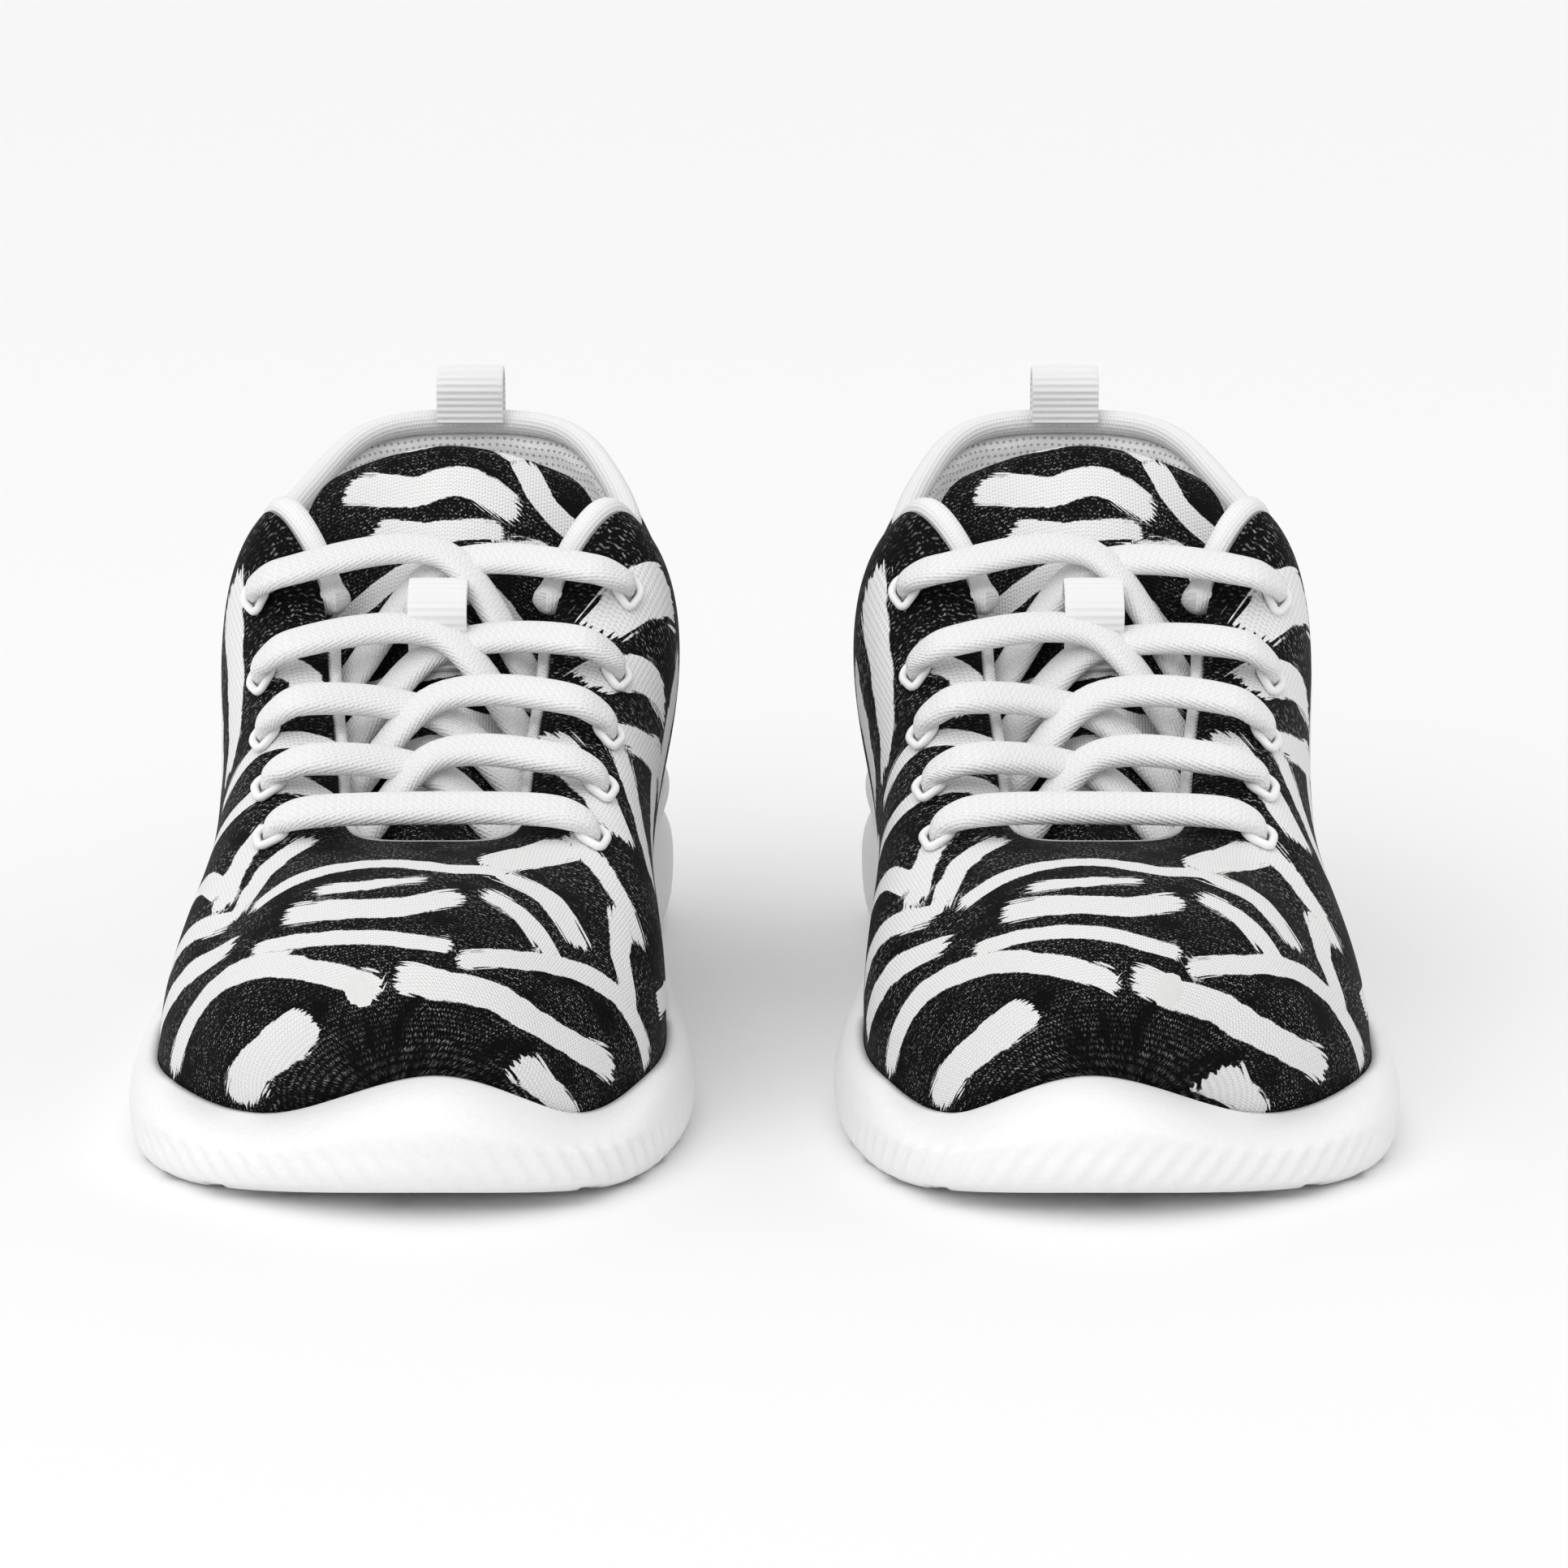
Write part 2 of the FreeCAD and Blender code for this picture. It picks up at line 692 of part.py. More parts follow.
def primitive(kind, name, **expressions):
    item = doc.addObject(kind, name)
    for prop, expression in expressions.items():
        item.setExpression(prop, expression)
    return item


def band_body(name, wire, width):
    """Webbing band: its line in the YZ plane is thickened and padded across X."""
    body = doc.addObject("PartDesign::Body", name)
    sketch = body.newObject("Sketcher::SketchObject", f"{name}_profile")
    plane = next(f for f in body.Origin.OriginFeatures if f.Role == "YZ_Plane")
    sketch.AttachmentSupport = [(plane, "")]
    sketch.MapMode = "FlatFace"
    for edge in wire.makeOffset2D(size("webbing_thickness"), 0, True, True).Edges:
        if edge.Curve.TypeId == "Part::GeomLine":
            sketch.addGeometry(Part.LineSegment(edge.Vertexes[0].Point, edge.Vertexes[-1].Point))
        else:
            sketch.addGeometry(Part.ArcOfCircle(edge.Curve, *edge.ParameterRange))
    pad = body.newObject("PartDesign::Pad", f"{name}_pad")
    pad.Profile = sketch
    pad.Midplane = True
    pad.setExpression("Length", f"Dimensions.{width}")
    return body


def add_eyelets():
    """Ten moulded eyelets: a rounded ring outside and a short barrel through the layers."""
    ring = primitive("Part::Torus", "eyelet_ring", Radius1="Dimensions.eyelet_ring_radius",
                     Radius2="Dimensions.eyelet_wire_radius")
    barrel = primitive("Part::Cylinder", "eyelet_barrel",
                       Radius="Dimensions.eyelet_hole_radius + 0.45",
                       Height="Dimensions.eyelet_barrel_length")
    bore = primitive("Part::Cylinder", "eyelet_bore",
                     Radius="Dimensions.eyelet_hole_radius", Height="12 mm")
    lift = size("eyelet_wire_radius") + 0.1
    ring.Placement.Base = V(0, 0, lift)
    barrel.Placement.Base = V(0, 0, lift - size("eyelet_barrel_length"))
    bore.Placement.Base = V(0, 0, -8)
    solid = doc.addObject("Part::Fuse", "eyelet_solid")
    solid.Base = ring
    solid.Tool = barrel
    master = doc.addObject("Part::Cut", "eyelet")
    master.Base = solid
    master.Tool = bore
    doc.recompute()
    copies = []
    for t, v, centre, out in EYELETS.values():
        turn = FreeCAD.Rotation(V(0, 0, 1), out)
        copies.append(master.Shape.transformed(FreeCAD.Placement(centre, turn).toMatrix()))
    shaped("eyelets", Part.makeCompound(copies))


def add_keeper():
    """Webbing strap on the tongue: flat ends, and a bridge over a crossing of the lace."""
    half, foot, bridge = size("keeper_length") / 2, 7.2, size("keeper_clearance")
    points = [(-half, 0), (-foot, 0), (-foot + 1.5, bridge), (foot - 1.5, bridge), (foot, 0), (half, 0)]
    wire = Part.makePolygon([V(y, z, 0) for y, z in reversed(points)])
    body = band_body("right_lace_keeper", wire, "keeper_width")
    across = crossing(3, 0)
    s = min((i / 40 for i in range(40 * TONGUE_SPAN)),
            key=lambda s: (TONGUE_LINE.value(s) - across).Length)
    centre, along, out = tongue_frame(s)
    base = centre + out * 0.5 + V(lean(centre.y) - HALF_SPACING, 0, 0)
    turn = FreeCAD.Rotation(V(0, 1, 0), along)
    add_piece("right_lace_keeper", body, FreeCAD.Placement(base, turn))


def add_pull_tab():
    """Webbing loop that stands astride the binding at the back of the collar."""
    half, top = size("tab_depth") / 2, size("tab_height")
    legs = [Part.LineSegment(V(-half, 0, 0), V(-half, top - half, 0)).toShape(),
            Part.Arc(V(-half, top - half, 0), V(0, top, 0), V(half, top - half, 0)).toShape(),
            Part.LineSegment(V(half, top - half, 0), V(half, 0, 0)).toShape()]
    body = band_body("right_pull_tab", Part.Wire(legs), "tab_width")
    back = edge_path(HEEL, HEEL, 1, size("binding_radius") + 0.15, 2.4)[0]
    add_piece("right_pull_tab", body, FreeCAD.Placement(
        back + V(-HALF_SPACING, 0, 0.4), FreeCAD.Rotation()))


def build_right_shoe():
    for make in (sole_unit, lasting_board, sockliner, upper, toe_puff, heel_counter,
                 eyestay_backing, vamp_lining, collar_foam, collar_lining, collar_binding,
                 throat_piping):
        shaped(make.__name__, make())
    depth = 0.0
    for name, thickness in TONGUE_LAYERS.items():
        shaped(name, tongue_layer(depth, thickness))
        depth += thickness + TONGUE_GAP
    add_eyelets()
    shaped("lace", lace(1))
    shaped("aglets", aglets(1))
    add_keeper()
    add_pull_tab()


def build_left_shoe():
    """The mirror image, but with the lace crossed the same way round on both feet."""
    for name in list(PIECES):
        source = PIECES[name]
        kind = name.removeprefix("right_")
        if kind in ("lace", "aglets"):
            source = doc.addObject("Part::Feature", f"{kind}_crossed_over")
            source.Shape = {"lace": lace, "aglets": aglets}[kind](-1)
            source.Placement = IN_PLACE
        twin = doc.addObject("Part::Mirroring", f"left_{kind}")
        twin.Source = source
        twin.Normal = V(1, 0, 0)
        twin.Base = V(0, 0, 0)
        add_piece(f"left_{kind}", twin)


def check_and_export():
    for item in doc.Objects:
        if "Invalid" in item.State or "Error" in item.State:
            raise RuntimeError(f"{item.Label}: {item.State}")
    os.makedirs("parts", exist_ok=True)
    for name, item in PIECES.items():
        if item.Shape.isNull() or not item.Shape.isValid():
            raise RuntimeError(f"{name}: bad shape")
        item.Shape.exportStep(f"parts/{name}.step")


build_right_shoe()
build_left_shoe()
doc.recompute()
check_and_export()
print(len(PIECES), "nodes")
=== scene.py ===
# %% [markdown]
# # A pair of cheer shoes
# These are light trainers: a foam sole, a printed knit upper, a padded collar and a long
# flat lace. The shapes come from a few curves drawn round the foot, and every piece
# follows those curves, so the layers fit each other as they do on a shoemaker's last.
# We start by loading the fixed frame, which says where each piece sits.

import itertools
import math

import bmesh
import bpy
import numpy as np
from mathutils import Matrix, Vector


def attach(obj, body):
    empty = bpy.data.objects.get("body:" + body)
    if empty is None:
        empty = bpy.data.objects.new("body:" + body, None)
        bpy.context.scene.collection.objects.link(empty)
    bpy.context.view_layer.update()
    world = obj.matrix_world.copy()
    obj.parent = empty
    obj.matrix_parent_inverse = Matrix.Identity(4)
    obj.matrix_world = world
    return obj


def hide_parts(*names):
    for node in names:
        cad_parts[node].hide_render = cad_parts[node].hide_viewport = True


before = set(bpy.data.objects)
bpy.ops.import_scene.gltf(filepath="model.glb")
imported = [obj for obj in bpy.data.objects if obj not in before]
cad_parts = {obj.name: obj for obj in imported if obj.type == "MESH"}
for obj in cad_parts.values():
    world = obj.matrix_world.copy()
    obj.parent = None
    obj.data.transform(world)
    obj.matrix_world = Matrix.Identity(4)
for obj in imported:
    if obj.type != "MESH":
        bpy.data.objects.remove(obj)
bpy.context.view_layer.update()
MM = 0.001
HALF_SPACING = 63.5
SIDES = {"right": -1, "left": 1}

# %% [markdown]
# ## Camera, light and floor
# A long lens from a little above the toes shows both shoes without much perspective.
# The room is a pale floor and a bright, even sky. A wide soft sun and one big lamp add just
# enough direction to model the foam and the knit, and leave a faint shadow under the soles.

# %% Camera
LOOK_DOWN = 11.71


def add_object(name, data):
    """A new object of the scene that holds this mesh, lamp or camera."""
    thing = bpy.data.objects.new(name, data)
    bpy.context.collection.objects.link(thing)
    return thing


def grey(value):
    return (value, value, value, 1)


camera = add_object("camera", bpy.data.cameras.new("camera"))
camera.location = (0.0035, -1.000, 0.257)
camera.rotation_euler = (math.radians(90 - LOOK_DOWN), 0, 0)
camera.data.lens = 120.7
camera.data.sensor_width = 36
camera.data.clip_start = 0.01
bpy.context.scene.camera = camera
print("camera", tuple(camera.location), "lens", camera.data.lens)

# %% Floor, sky and lamps
def soft_lamp(name, place, target, width, power):
    """A square area lamp that points at a target."""
    lamp = add_object(name, bpy.data.lights.new(name, "AREA"))
    lamp.location = place
    lamp.rotation_euler = (Vector(target) - Vector(place)).to_track_quat("-Z", "Y").to_euler()
    lamp.data.size = width
    lamp.data.energy = power


def make_floor(half_width=6):
    mesh = bpy.data.meshes.new("floor")
    form = bmesh.new()
    bmesh.ops.create_grid(form, x_segments=1, y_segments=1, size=half_width)
    form.to_mesh(mesh)
    form.free()
    floor = add_object("floor", mesh)
    paint = bpy.data.materials.new("floor_paint")
    paint.use_nodes = True
    shader = paint.node_tree.nodes["Principled BSDF"]
    shader.inputs["Base Color"].default_value = grey(0.93)
    shader.inputs["Roughness"].default_value = 0.9
    mesh.materials.append(paint)


make_floor()
world = bpy.data.worlds.new("studio")
bpy.context.scene.world = world
world.use_nodes = True
world.node_tree.nodes["Background"].inputs["Color"].default_value = (1, 1, 1, 1)
world.node_tree.nodes["Background"].inputs["Strength"].default_value = 0.74
high_sun = add_object("high_sun", bpy.data.lights.new("high_sun", "SUN"))
high_sun.rotation_euler = (math.radians(28), math.radians(-14), 0)
high_sun.data.energy = 1.0
high_sun.data.angle = math.radians(70)
soft_lamp("front_lamp", (-0.6, -1.5, 0.9), (0, 0, 0.05), 0.9, 3.5)
bpy.context.scene.view_settings.view_transform = "Standard"

# %% [markdown]
# ## Writing materials as sums
# A pattern such as a weave is a formula over the surface. Wiring Math nodes by hand hides
# the formula, so a small class wraps a socket and lets us write it as ordinary Python:
# each operator adds the node that does it.

# %% A socket that can be added and multiplied
class Field:
    """A value that varies over a surface, held as a socket of a material's node tree."""

    def __init__(self, maker, socket):
        self.maker = maker
        self.socket = socket

    def math(self, operation, *others):
        return self.maker.node("ShaderNodeMath", {"operation": operation}, [self, *others])

    def __add__(self, other):
        return self.math("ADD", other)

    def __sub__(self, other):
        return self.math("SUBTRACT", other)

    def __rsub__(self, other):
        return self.maker.node("ShaderNodeMath", {"operation": "SUBTRACT"}, [other, self])

    def __mul__(self, other):
        return self.math("MULTIPLY", other)

    def __truediv__(self, other):
        return self.math("DIVIDE", other)

    __radd__ = __add__
    __rmul__ = __mul__

    def wave(self, period):
        """A smooth 0 to 1 wave with this period."""
        return (self * (2 * math.pi / period)).math("SINE") * 0.5 + 0.5

    def step(self, low, high):
        """0 below low, 1 above high and smooth between."""
        return self.maker.node(
            "ShaderNodeMapRange", {"interpolation_type": "SMOOTHSTEP"},
            [self, low, high, 0.0, 1.0])


class Maker:
    """Builds one material round its Principled shader."""

    def __init__(self, name, roughness=0.8, **constants):
        self.material = bpy.data.materials.new(name)
        self.material.use_nodes = True
        self.tree = self.material.node_tree
        self.shader = self.tree.nodes["Principled BSDF"]
        self.shader.inputs["Roughness"].default_value = roughness
        for label, value in constants.items():
            self.shader.inputs[label.replace("_", " ")].default_value = value

    def node(self, kind, settings=(), inputs=(), output=0):
        """A node of any kind. Its settings are set first, then its inputs in order or by name."""
        node = self.tree.nodes.new(kind)
        for name, value in dict(settings).items():
            setattr(node, name, value)
        pairs = inputs.items() if isinstance(inputs, dict) else enumerate(inputs)
        for key, value in pairs:
            if isinstance(value, Field):
                self.tree.links.new(value.socket, node.inputs[key])
            else:
                node.inputs[key].default_value = value
        return Field(self, node.outputs[output])

    def attribute(self, name):
        return self.node("ShaderNodeAttribute", {"attribute_name": name}, output="Fac")

    def surface(self):
        """The piece's UV map, which is in millimetres, and its two coordinates."""
        uv = self.node("ShaderNodeUVMap", {"uv_map": "flat"})
        x = self.node("ShaderNodeSeparateXYZ", inputs=[uv])
        return uv, x, Field(self, x.socket.node.outputs["Y"])

    def noise(self, place, scale, detail=2.0, roughness=0.5):
        return self.node("ShaderNodeTexNoise", {}, {
            "Vector": place, "Scale": scale, "Detail": detail, "Roughness": roughness})

    def combine(self, x, y):
        return self.node("ShaderNodeCombineXYZ", inputs=[x, y, 0.0])

    def mix(self, share, first, second):
        """Colour mix: first where share is 0 and second where it is 1."""
        node = self.tree.nodes.new("ShaderNodeMix")
        node.data_type = "RGBA"
        for key, value in (("Factor", share), ("A", first), ("B", second)):
            socket = next(s for s in node.inputs if s.name == key and
                          s.type == ("VALUE" if key == "Factor" else "RGBA"))
            if isinstance(value, Field):
                self.tree.links.new(value.socket, socket)
            else:
                socket.default_value = value
        return Field(self, next(s for s in node.outputs if s.type == "RGBA"))

    def finish(self, colour, height, distance, roughness=None):
        """Connects colour, bump and, where it varies, roughness."""
        self.tree.links.new(colour.socket, self.shader.inputs["Base Color"])
        if roughness is not None:
            self.tree.links.new(roughness.socket, self.shader.inputs["Roughness"])
        bump = self.node("ShaderNodeBump", {}, {
            "Height": height, "Distance": distance, "Strength": 1.0})
        self.tree.links.new(bump.socket, self.shader.inputs["Normal"])
        return self.material


print("materials are written as sums")

# %% [markdown]
# ## The curves that every piece follows
# A shoemaker cuts flat pieces that wrap a last. Here the last is five closed curves: the
# sole's outline, the line where the knit leaves the sole, two that steer its bulge, and
# the edge of the opening. Each row below is one place round the foot, from the toe along
# the inner side to the heel. All numbers are millimetres, from the middle of the shoe.

# %% Stations round the foot
# outline (x, y), flare, foot line, bulge, shoulder and edge of the opening (x, y, z)
STATIONS = (
    ((5, -135), 0.0, (7, -124, 24.3), (3, -132, 45), (0, -97, 56), (0, -58, 51)),
    ((30, -125), -8.0, (28.5, -113, 14.8), (28.5, -119, 37), (21, -92, 53.5), (12, -56, 51)),
    ((43.5, -104), 0.0, (40.5, -96, 15.2), (40, -98, 35), (31, -78, 50), (17, -46, 53)),
    ((49.5, -77), 1.5, (45, -75, 15.8), (46, -76, 37), (37, -60, 51.5), (18.5, -31.5, 59.5)),
    ((49, -50), 2.5, (44.5, -50, 17.5), (45.5, -50, 40), (38.5, -42, 58.5), (20, -17, 66.7)),
    ((44.5, -24), 4.0, (41.5, -24, 19.5), (43.5, -25, 44), (41, -21, 67), (21.5, -1.5, 75)),
    ((40.5, 0), 4.5, (39, 0, 22.5), (44.5, -1, 48), (45.5, 2, 78.5), (24, 14.5, 86.5)),
    ((38.5, 22), 4.5, (37.5, 22, 25.5), (45.5, 22, 50), (52, 25, 85), (33.5, 27.5, 98.5)),
    ((38.5, 45), 3.0, (37.5, 45, 28.5), (46.5, 45, 50), (50, 46, 80), (38.5, 45, 93)),
    ((40.5, 70), 1.0, (39, 70, 31.5), (47, 71, 50), (45.5, 72, 78), (37.5, 70, 91.5)),
    ((42.5, 96), 0.0, (39.5, 95, 34.5), (45.5, 99, 52), (39.5, 100, 78), (32, 96, 96)),
    ((32, 123), 0.0, (28, 119, 36.5), (31, 128, 56), (25, 123, 82), (21, 114.5, 102)),
    ((0, 135.5), 0.0, (0, 128, 37), (0, 139, 60), (0, 131, 84), (0, 122.5, 103)),
)
# column of each curve, and its share of the flare and of the lean
CURVES = {"outline": (0, 1, 0), "foot": (2, 1, 0), "bulge": (3, -0.3, 0),
          "shoulder": (4, -0.6, 1), "edge": (5, 0, 1)}
# stations in the whole round, the heel's station, and how far v reaches under the foot line
COUNT, HEEL, SKIRT = 24, 12, -0.2
TOE_CURL, HEEL_CURL = -95, 105
FLOOR_LOW, FLOOR_RISE = 9.5, 12.5


def smooth(value):
    value = np.clip(value, 0, 1)
    return value * value * (3 - 2 * value)


def lean(y):
    """The instep leans slightly to the inner side."""
    return 2.2 * np.clip((10 - y) / 60, 0, 1)


def ground(y):
    """Height of the underside, which curls up at the toe and the heel."""
    toe, heel = np.maximum(0, TOE_CURL - y) / 40, np.maximum(0, y - HEEL_CURL) / 30
    return 6.5 * toe ** 2 + 3 * heel ** 2


def floor_height(y):
    """Height of the floor inside the sole."""
    return FLOOR_LOW + FLOOR_RISE * smooth((y + 60) / 120) + 0.5 * ground(y)


print(len(STATIONS), "stations, from toe to heel")

# %% Smooth curves through points
def spline_controls(points, closed):
    """Control points of the uniform cubic spline that passes through the given points."""
    points = np.asarray(points, float)
    count = len(points)
    if closed:
        one = np.eye(count)
        matrix = (4 * one + np.roll(one, 1, axis=1) + np.roll(one, -1, axis=1)) / 6
        return np.linalg.solve(matrix, points)
    matrix = np.zeros((count + 2, count + 2))
    for i in range(count):
        matrix[i + 1, i:i + 3] = (1 / 6, 4 / 6, 1 / 6)
    matrix[0, [0, 2]] = (-0.5, 0.5)
    matrix[-1, [-3, -1]] = (-0.5, 0.5)
    start = np.array((-11, 18, -9, 2)) @ points[:4] / 6
    end = np.array((11, -18, 9, -2)) @ points[:-5:-1] / 6
    return np.linalg.solve(matrix, np.vstack([start, points, end]))


def spline_value(controls, t, closed):
    """Points of a spline at t, which is 0 at its first given point and 1 at the next."""
    t = np.asarray(t, float)
    k = np.floor(t).astype(int)
    if not closed:
        k = np.clip(k, 0, len(controls) - 4)
    f = (t - k)[..., None]
    weights = ((1 - f) ** 3, 3 * f ** 3 - 6 * f ** 2 + 4,
               -3 * f ** 3 + 3 * f ** 2 + 3 * f + 1, f ** 3)
    total = 0
    for i, weight in enumerate(weights):
        index = (k + i - 1) % len(controls) if closed else k + i
        total = total + weight * controls[index] / 6
    return total


def closed_curve(column, flare_share, lean_share):
    def place(row, sign, flare):
        x, y, *height = row[column]
        return (sign * x - flare * flare_share + lean(y) * lean_share, y, *height)
    inner = [place(row, 1, 0) for row in STATIONS]
    outer = [place(row, -1, row[1]) for row in reversed(STATIONS[1:-1])]
    return spline_controls(inner + outer, True)


LOOPS = {name: closed_curve(*columns) for name, columns in CURVES.items()}


def loop(name, t):
    return spline_value(LOOPS[name], t, True)


print("toe of the foot line", np.round(loop("foot", 0.0), 1))

# %% The knit's surface
def upper_point(t, v):
    """Outer face of the upper. t goes round the foot, v up from the sole to the opening."""
    t, v = np.broadcast_arrays(np.asarray(t, float), np.asarray(v, float))
    foot, bulge, shoulder, edge = (loop(name, t) for name in
                                   ("foot", "bulge", "shoulder", "edge"))
    up = np.maximum(v, 0)[..., None]
    face = ((1 - up) ** 3 * foot + 3 * up * (1 - up) ** 2 * bulge
            + 3 * up ** 2 * (1 - up) * shoulder + up ** 3 * edge)
    down = (foot - bulge) / (bulge - foot)[..., 2:3]
    depth = np.zeros(t.shape)
    for _ in range(4):
        depth = foot[..., 2] - floor_height(foot[..., 1] + down[..., 1] * depth) - 0.4
    tucked = foot + down * (v / SKIRT * depth)[..., None]
    return np.where(v[..., None] < 0, tucked, face)


def unit(vectors):
    return vectors / np.linalg.norm(vectors, axis=-1, keepdims=True)


def upper_normal(t, v):
    v = np.asarray(v, float)
    along = upper_point(t + 0.02, v) - upper_point(t - 0.02, v)
    up = upper_point(t, np.minimum(1, v + 0.02)) - upper_point(t, v - 0.02)
    return unit(np.cross(along, up))


def layer_point(t, v, depth):
    """The point that lies depth under the outer face."""
    return upper_point(t, v) - upper_normal(t, v) * np.asarray(depth, float)[..., None]


def edge_line(t, beyond, depth):
    """A line that follows the edge of the opening, beyond it and depth under its face."""
    edge = layer_point(t, 1.0, depth)
    along = unit(layer_point(t + 0.02, 1.0, depth) - layer_point(t - 0.02, 1.0, depth))
    up = edge - layer_point(t, 0.97, depth)
    up = unit(up - along * (up * along).sum(-1, keepdims=True))
    return edge + up * beyond


print("front of the opening", np.round(upper_point(0.0, 1.0), 1))

# %% [markdown]
# ## From a formula to a mesh
# A grid is the plainest mesh there is. We make one with an operator, move its vertices
# to the points of a surface and weld the edges that meet. The same helper lays a UV map
# in millimetres and stores numbers on the vertices, which the materials can read.

# %% Grid helper
def grid_piece(name, points, side, flat=None, values=None, close_ends=False, outward=True):
    """A mesh over a table of points in shoe millimetres, for the right or the left shoe."""
    rows, columns = points.shape[:2]
    form = bmesh.new()
    bmesh.ops.create_grid(form, x_segments=rows - 1, y_segments=columns - 1, size=0.5)
    mesh = bpy.data.meshes.new(name)
    form.to_mesh(mesh)
    form.free()
    corner = np.empty(len(mesh.vertices) * 3)
    mesh.vertices.foreach_get("co", corner)
    corner = corner.reshape(-1, 3)
    corner = (corner - corner.min(0)) / np.maximum(np.ptp(corner, axis=0), 1e-9)
    i = np.rint(corner[:, 0] * (rows - 1)).astype(int)
    j = np.rint(corner[:, 1] * (columns - 1)).astype(int)
    place = points[i, j].copy()
    place[:, 0] = SIDES[side] * (HALF_SPACING - place[:, 0])
    mesh.vertices.foreach_set("co", (place * MM).ravel())
    if flat is not None:
        vertex = np.empty(len(mesh.loops), dtype=np.int32)
        mesh.loops.foreach_get("vertex_index", vertex)
        layer = mesh.uv_layers.new(name="flat")
        layer.uv.foreach_set("vector", flat[i[vertex], j[vertex]].astype(np.float32).ravel())
    for label, table in (values or {}).items():
        attribute = mesh.attributes.new(label, "FLOAT", "POINT")
        attribute.data.foreach_set("value", table[i, j].astype(np.float32))
    form = bmesh.new()
    form.from_mesh(mesh)
    bmesh.ops.remove_doubles(form, verts=form.verts, dist=0.00001)
    if close_ends:
        edges = [edge for edge in form.edges if edge.is_boundary]
        bmesh.ops.holes_fill(form, edges=edges, sides=0)
        bmesh.ops.recalc_face_normals(form, faces=form.faces)
    elif (side == "left") == outward:
        bmesh.ops.reverse_faces(form, faces=form.faces)
    for face in form.faces:
        face.smooth = True
    form.to_mesh(mesh)
    form.free()
    return add_object(name, mesh)


def thicken(piece, name, thickness):
    """Gives a thin skin its thickness, in millimetres, on its inner side."""
    wall = piece.modifiers.new(name, "SOLIDIFY")
    wall.thickness = thickness * MM
    wall.offset = -1


def lengths(points, axis):
    """Distance travelled along one axis of a table of points."""
    steps = np.linalg.norm(np.diff(points, axis=axis), axis=-1)
    start = np.zeros_like(np.take(steps, [0], axis=axis))
    return np.concatenate([start, np.cumsum(steps, axis=axis)], axis=axis)


def plain_flat(points):
    """UV in millimetres: distance along the rows' middle, and up each column."""
    middle = points.shape[1] // 2
    along = lengths(points[:, middle], 0)
    return np.stack(np.broadcast_arrays(along[:, None], lengths(points, 1)), axis=-1)


def place_piece(piece, body, slot, material, *nodes, padded=None):
    """Gives a piece its finish, hides the CAD nodes it stands in for and attaches it to the body it
    moves with.
    """
    piece.data.materials.append(material)
    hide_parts(*nodes)
    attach(piece, body)


print("grid helper ready")

# %% [markdown]
# ## Finishes
# Each finish is one small recipe. The knits and webbings are drawn in millimetres on the
# pieces' own UV maps, so the yarn keeps its real size wherever the surface turns. The
# foam and the plastics read Object coordinates, because they have no direction.

# %% White yarns: knit binding, lace and piping
def white_yarn(name, across, along, depth, tone, slant=0.0):
    """Fine white ribs: across and along are the size of one stitch in millimetres."""
    maker = Maker(name, 0.85)
    uv, x, y = maker.surface()
    rows = (y + x.wave(across * 2) * (along / 2)).wave(along)
    ribs = (x + y * slant).wave(across) * 0.55 + rows * 0.45
    fuzz = maker.noise(uv, 3.0, 3.0)
    shade = ribs.step(0.1, 0.75) * 0.8 + fuzz * 0.2
    colour = maker.mix(shade, grey(tone - 0.08), grey(tone))
    return maker.finish(colour, ribs + fuzz * 0.35, depth)


white_knit = white_yarn("white_knit", 0.9, 0.8, 0.00014, 0.88)
lace_weave = white_yarn("lace_weave", 0.8, 0.95, 0.00018, 0.86, slant=0.35)
piping_weave = white_yarn("piping_weave", 1.0, 0.9, 0.00022, 0.87, slant=0.9)
webbing = white_yarn("webbing", 60.0, 1.35, 0.00012, 0.82)
print("white yarns:", [m.name for m in (white_knit, lace_weave, piping_weave, webbing)])

# %% Spacer mesh of the collar lining
def make_mesh_lining():
    maker = Maker("lining_mesh", 0.9)
    uv, x, y = maker.surface()
    shifted = x + (y / 3.2).math("FLOOR").math("MODULO", 2.0)
    hole = shifted.wave(2.0) * y.wave(1.6)
    mask = hole.step(0.62, 0.9)
    colour = maker.mix(mask, grey(0.95), (0.60, 0.60, 0.61, 1))
    return maker.finish(colour, (1 - mask) + maker.noise(uv, 2.5) * 0.4, 0.00045)


lining_mesh = make_mesh_lining()
print("lining mesh made")

# %% Foam, plastics and hidden layers
def grainy(name, colour, dark, scale, depth, roughness):
    """A finish with no direction: fine grain in its colour, its gloss and its surface."""
    maker = Maker(name, roughness)
    place = maker.node("ShaderNodeTexCoord", output="Object")
    grain = maker.noise(place, scale, 4.0, 0.6)
    broad = maker.noise(place, scale / 25, 2.0)
    tone = maker.mix(grain * 0.6 + broad * 0.4, dark, colour)
    return maker.finish(tone, grain, depth, roughness=broad * 0.12 + (roughness - 0.06))


